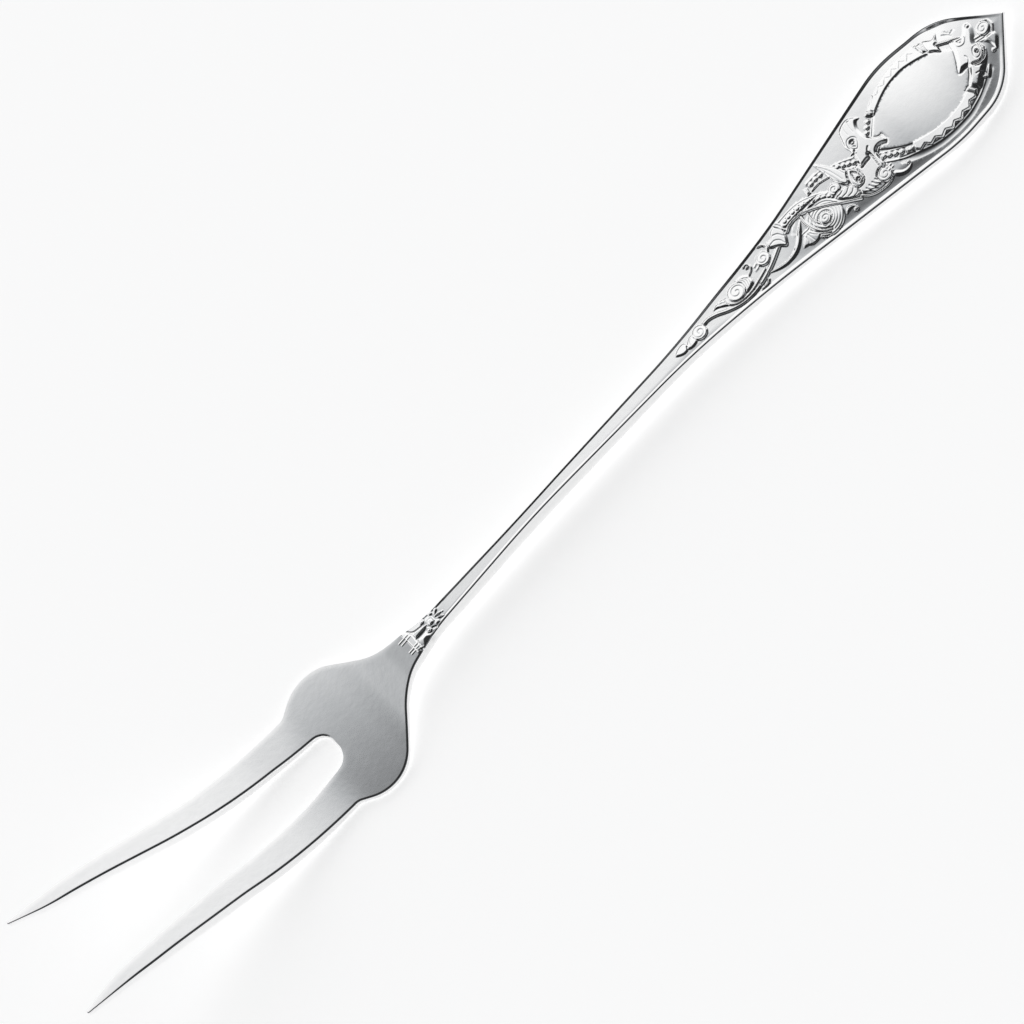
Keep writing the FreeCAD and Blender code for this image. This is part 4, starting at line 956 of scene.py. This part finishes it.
def silver():
    """Polished silver with fine wear, with shade painted darker into the carving's crevices."""
    silver_colour = (0.94, 0.94, 0.94, 1)
    painted_shade_colour = (0.10, 0.10, 0.11, 1)
    most_painted_shade = 0.6
    material, tree = new_material("polished_silver")
    nodes, links = tree.nodes, tree.links
    out = nodes.new("ShaderNodeOutputMaterial")
    metal = nodes.new("ShaderNodeBsdfPrincipled")
    metal.inputs["Metallic"].default_value = 1.0
    place = nodes.new("ShaderNodeTexCoord")
    crevice_shade = nodes.new("ShaderNodeAttribute")
    crevice_shade.attribute_name = "crevice_shade"
    colour = nodes.new("ShaderNodeMix")
    colour.data_type = "RGBA"
    colour.inputs["A"].default_value = silver_colour
    colour.inputs["B"].default_value = painted_shade_colour
    wear = nodes.new("ShaderNodeTexNoise")
    wear.inputs["Scale"].default_value = 900.0
    wear.inputs["Detail"].default_value = 4.0
    rough = nodes.new("ShaderNodeMapRange")
    rough.inputs["To Min"].default_value = 0.10
    rough.inputs["To Max"].default_value = 0.20
    bump = nodes.new("ShaderNodeBump")
    bump.inputs["Strength"].default_value = 0.04
    bump.inputs["Distance"].default_value = 0.0002
    links.new(place.outputs["Object"], wear.inputs["Vector"])
    links.new(wear.outputs["Fac"], rough.inputs["Value"])
    links.new(wear.outputs["Fac"], bump.inputs["Height"])
    # The crevice value mixes a near-black painted shade into the silver's colour.
    links.new(math_node(tree, "MULTIPLY", crevice_shade.outputs["Fac"], most_painted_shade), colour.inputs["Factor"])
    links.new(colour.outputs["Result"], metal.inputs["Base Color"])
    links.new(rough.outputs["Result"], metal.inputs["Roughness"])
    links.new(bump.outputs["Normal"], metal.inputs["Normal"])
    links.new(metal.outputs["BSDF"], out.inputs["Surface"])
    return material


def make_floor():
    """White paper: its own colour under the light, topped up to white for the eye and for metal."""
    bpy.ops.mesh.primitive_plane_add(size=6.0, location=(0, 0, -0.0002))
    floor = bpy.context.object
    floor.name = "floor"
    top_up = 0.7
    material, tree = new_material("white_paper")
    nodes, links = tree.nodes, tree.links
    out = nodes.new("ShaderNodeOutputMaterial")
    paper = nodes.new("ShaderNodeBsdfDiffuse")
    paper.inputs["Color"].default_value = (0.8, 0.8, 0.8, 1)
    glow = nodes.new("ShaderNodeEmission")
    glow.inputs["Color"].default_value = (1, 1, 1, 1)
    rays = nodes.new("ShaderNodeLightPath").outputs
    seen = math_node(tree, "MAXIMUM", rays["Is Camera Ray"], rays["Is Glossy Ray"])
    seen = math_node(tree, "MAXIMUM", seen, rays["Is Transmission Ray"])
    both = nodes.new("ShaderNodeAddShader")
    links.new(math_node(tree, "MULTIPLY", seen, top_up), glow.inputs["Strength"])
    links.new(paper.outputs["BSDF"], both.inputs[0])
    links.new(glow.outputs["Emission"], both.inputs[1])
    links.new(both.outputs["Shader"], out.inputs["Surface"])
    floor.data.materials.append(material)
    return floor


# The tent's brightness round the fork's length, by the angle in degrees: 0 is level with the table on
# the far side, 90 overhead and 180 level with the table on the camera's side.
TENT = [(0, 1.05), (47, 1.05), (54, 0.8), (60, 0.5), (66, 0.27), (74, 0.12), (84, 0.03), (140, 0.02),
        (158, 0.25), (170, 0.6), (180, 0.9)]
# How many degrees that angle is shifted, by how far a ray leans along the fork: -1 is straight towards
# the tines' side and 1 straight towards the handle's side.
SHIFT = [(-1.0, 6.0), (-0.58, 8.2), (-0.35, 3.2), (-0.17, 2.2), (-0.07, 1.9), (0.0, -1.0), (0.09, -3.9),
         (0.22, -5.0), (0.34, -6.3), (0.53, -3.5), (0.66, 1.5), (1.0, 2.0)]
MOST_SHIFT = 10


def tent_colour(value):
    """Grey of a brightness, a little cooler between black and white."""
    cool = 0.03 * min(value, 1 - value) if value < 1 else 0
    return (value - cool, value, value + cool, 1)


def shift_colour(degrees):
    """Grey that stands for a shift: black and white are the most either way."""
    value = 0.5 + degrees / (2 * MOST_SHIFT)
    return (value, value, value, 1)


def make_tent():
    """The world: a tent that the metal reflects.

    On the far side it is white to halfway up and grey above, overhead and on the camera's side it is
    dark, and down by the table there it is pale again.
    """
    world = bpy.data.worlds.new("tent")
    bpy.context.scene.world = world
    world.use_nodes = True
    tree = world.node_tree
    nodes, links = tree.nodes, tree.links
    nodes.clear()
    out = nodes.new("ShaderNodeOutputWorld")
    sky = nodes.new("ShaderNodeBackground")
    place = nodes.new("ShaderNodeTexCoord")
    axes = nodes.new("ShaderNodeSeparateXYZ")
    links.new(place.outputs["Generated"], axes.inputs["Vector"])
    turn = nodes.new("ShaderNodeMapRange")
    turn.inputs["From Min"].default_value = 0.0
    turn.inputs["From Max"].default_value = math.pi
    links.new(math_node(tree, "ARCTAN2", axes.outputs["Z"], axes.outputs["Y"]), turn.inputs["Value"])
    along_fork = nodes.new("ShaderNodeMapRange")
    along_fork.inputs["From Min"].default_value = -1.0
    links.new(axes.outputs["X"], along_fork.inputs["Value"])
    shift = ramp_node(tree, along_fork.outputs["Result"],
                      [((along + 1) / 2, shift_colour(degrees)) for along, degrees in SHIFT])
    moved = nodes.new("ShaderNodeMapRange")
    moved.inputs["To Min"].default_value = -MOST_SHIFT / 180
    moved.inputs["To Max"].default_value = MOST_SHIFT / 180
    moved.clamp = False
    links.new(shift, moved.inputs["Value"])
    angle = math_node(tree, "ADD", turn.outputs["Result"], moved.outputs["Result"])
    tent = ramp_node(tree, angle, [(degrees / 180, tent_colour(value)) for degrees, value in TENT])
    links.new(tent, sky.inputs["Color"])
    links.new(sky.outputs["Background"], out.inputs["Surface"])


def make_camera():
    """The photograph's view: high above the near side, turned so that the fork lies corner to corner.

    The stem's crest is at crest_pixel, counted from the picture's top left corner.
    """
    azimuth = math.radians(8.5)
    elevation = math.radians(60.0)
    roll = math.radians(-54.8)
    distance = 1.2
    picture = 1024
    per_metre = 5963.0
    back = Vector((math.sin(azimuth) * math.cos(elevation), -math.cos(azimuth) * math.cos(elevation),
                   math.sin(elevation)))
    level = Vector((math.cos(azimuth), math.sin(azimuth), 0))
    up = back.cross(level)
    right = math.cos(roll) * level + math.sin(roll) * up
    top = -math.sin(roll) * level + math.cos(roll) * up
    crest = Vector((0, 0, 0.0058))
    crest_pixel = (541, 501)
    aim = crest + right * ((picture / 2 - crest_pixel[0]) / per_metre)
    aim += top * ((crest_pixel[1] - picture / 2) / per_metre)
    data = bpy.data.cameras.new("camera")
    data.sensor_width = 36.0
    data.lens = per_metre * distance / picture * data.sensor_width
    data.clip_start = 0.05
    camera = bpy.data.objects.new("camera", data)
    turn = Matrix((right, top, back)).transposed().to_4x4()
    camera.matrix_world = Matrix.Translation(aim + back * distance) @ turn
    bpy.context.scene.collection.objects.link(camera)
    bpy.context.scene.camera = camera


fork = build_fork()
fork.data.materials.append(silver())
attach(fork, "root")
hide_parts("serving_fork")
floor = make_floor()
floor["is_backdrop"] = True
make_tent()
make_camera()
bpy.context.scene.view_settings.view_transform = "Standard"

low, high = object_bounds()
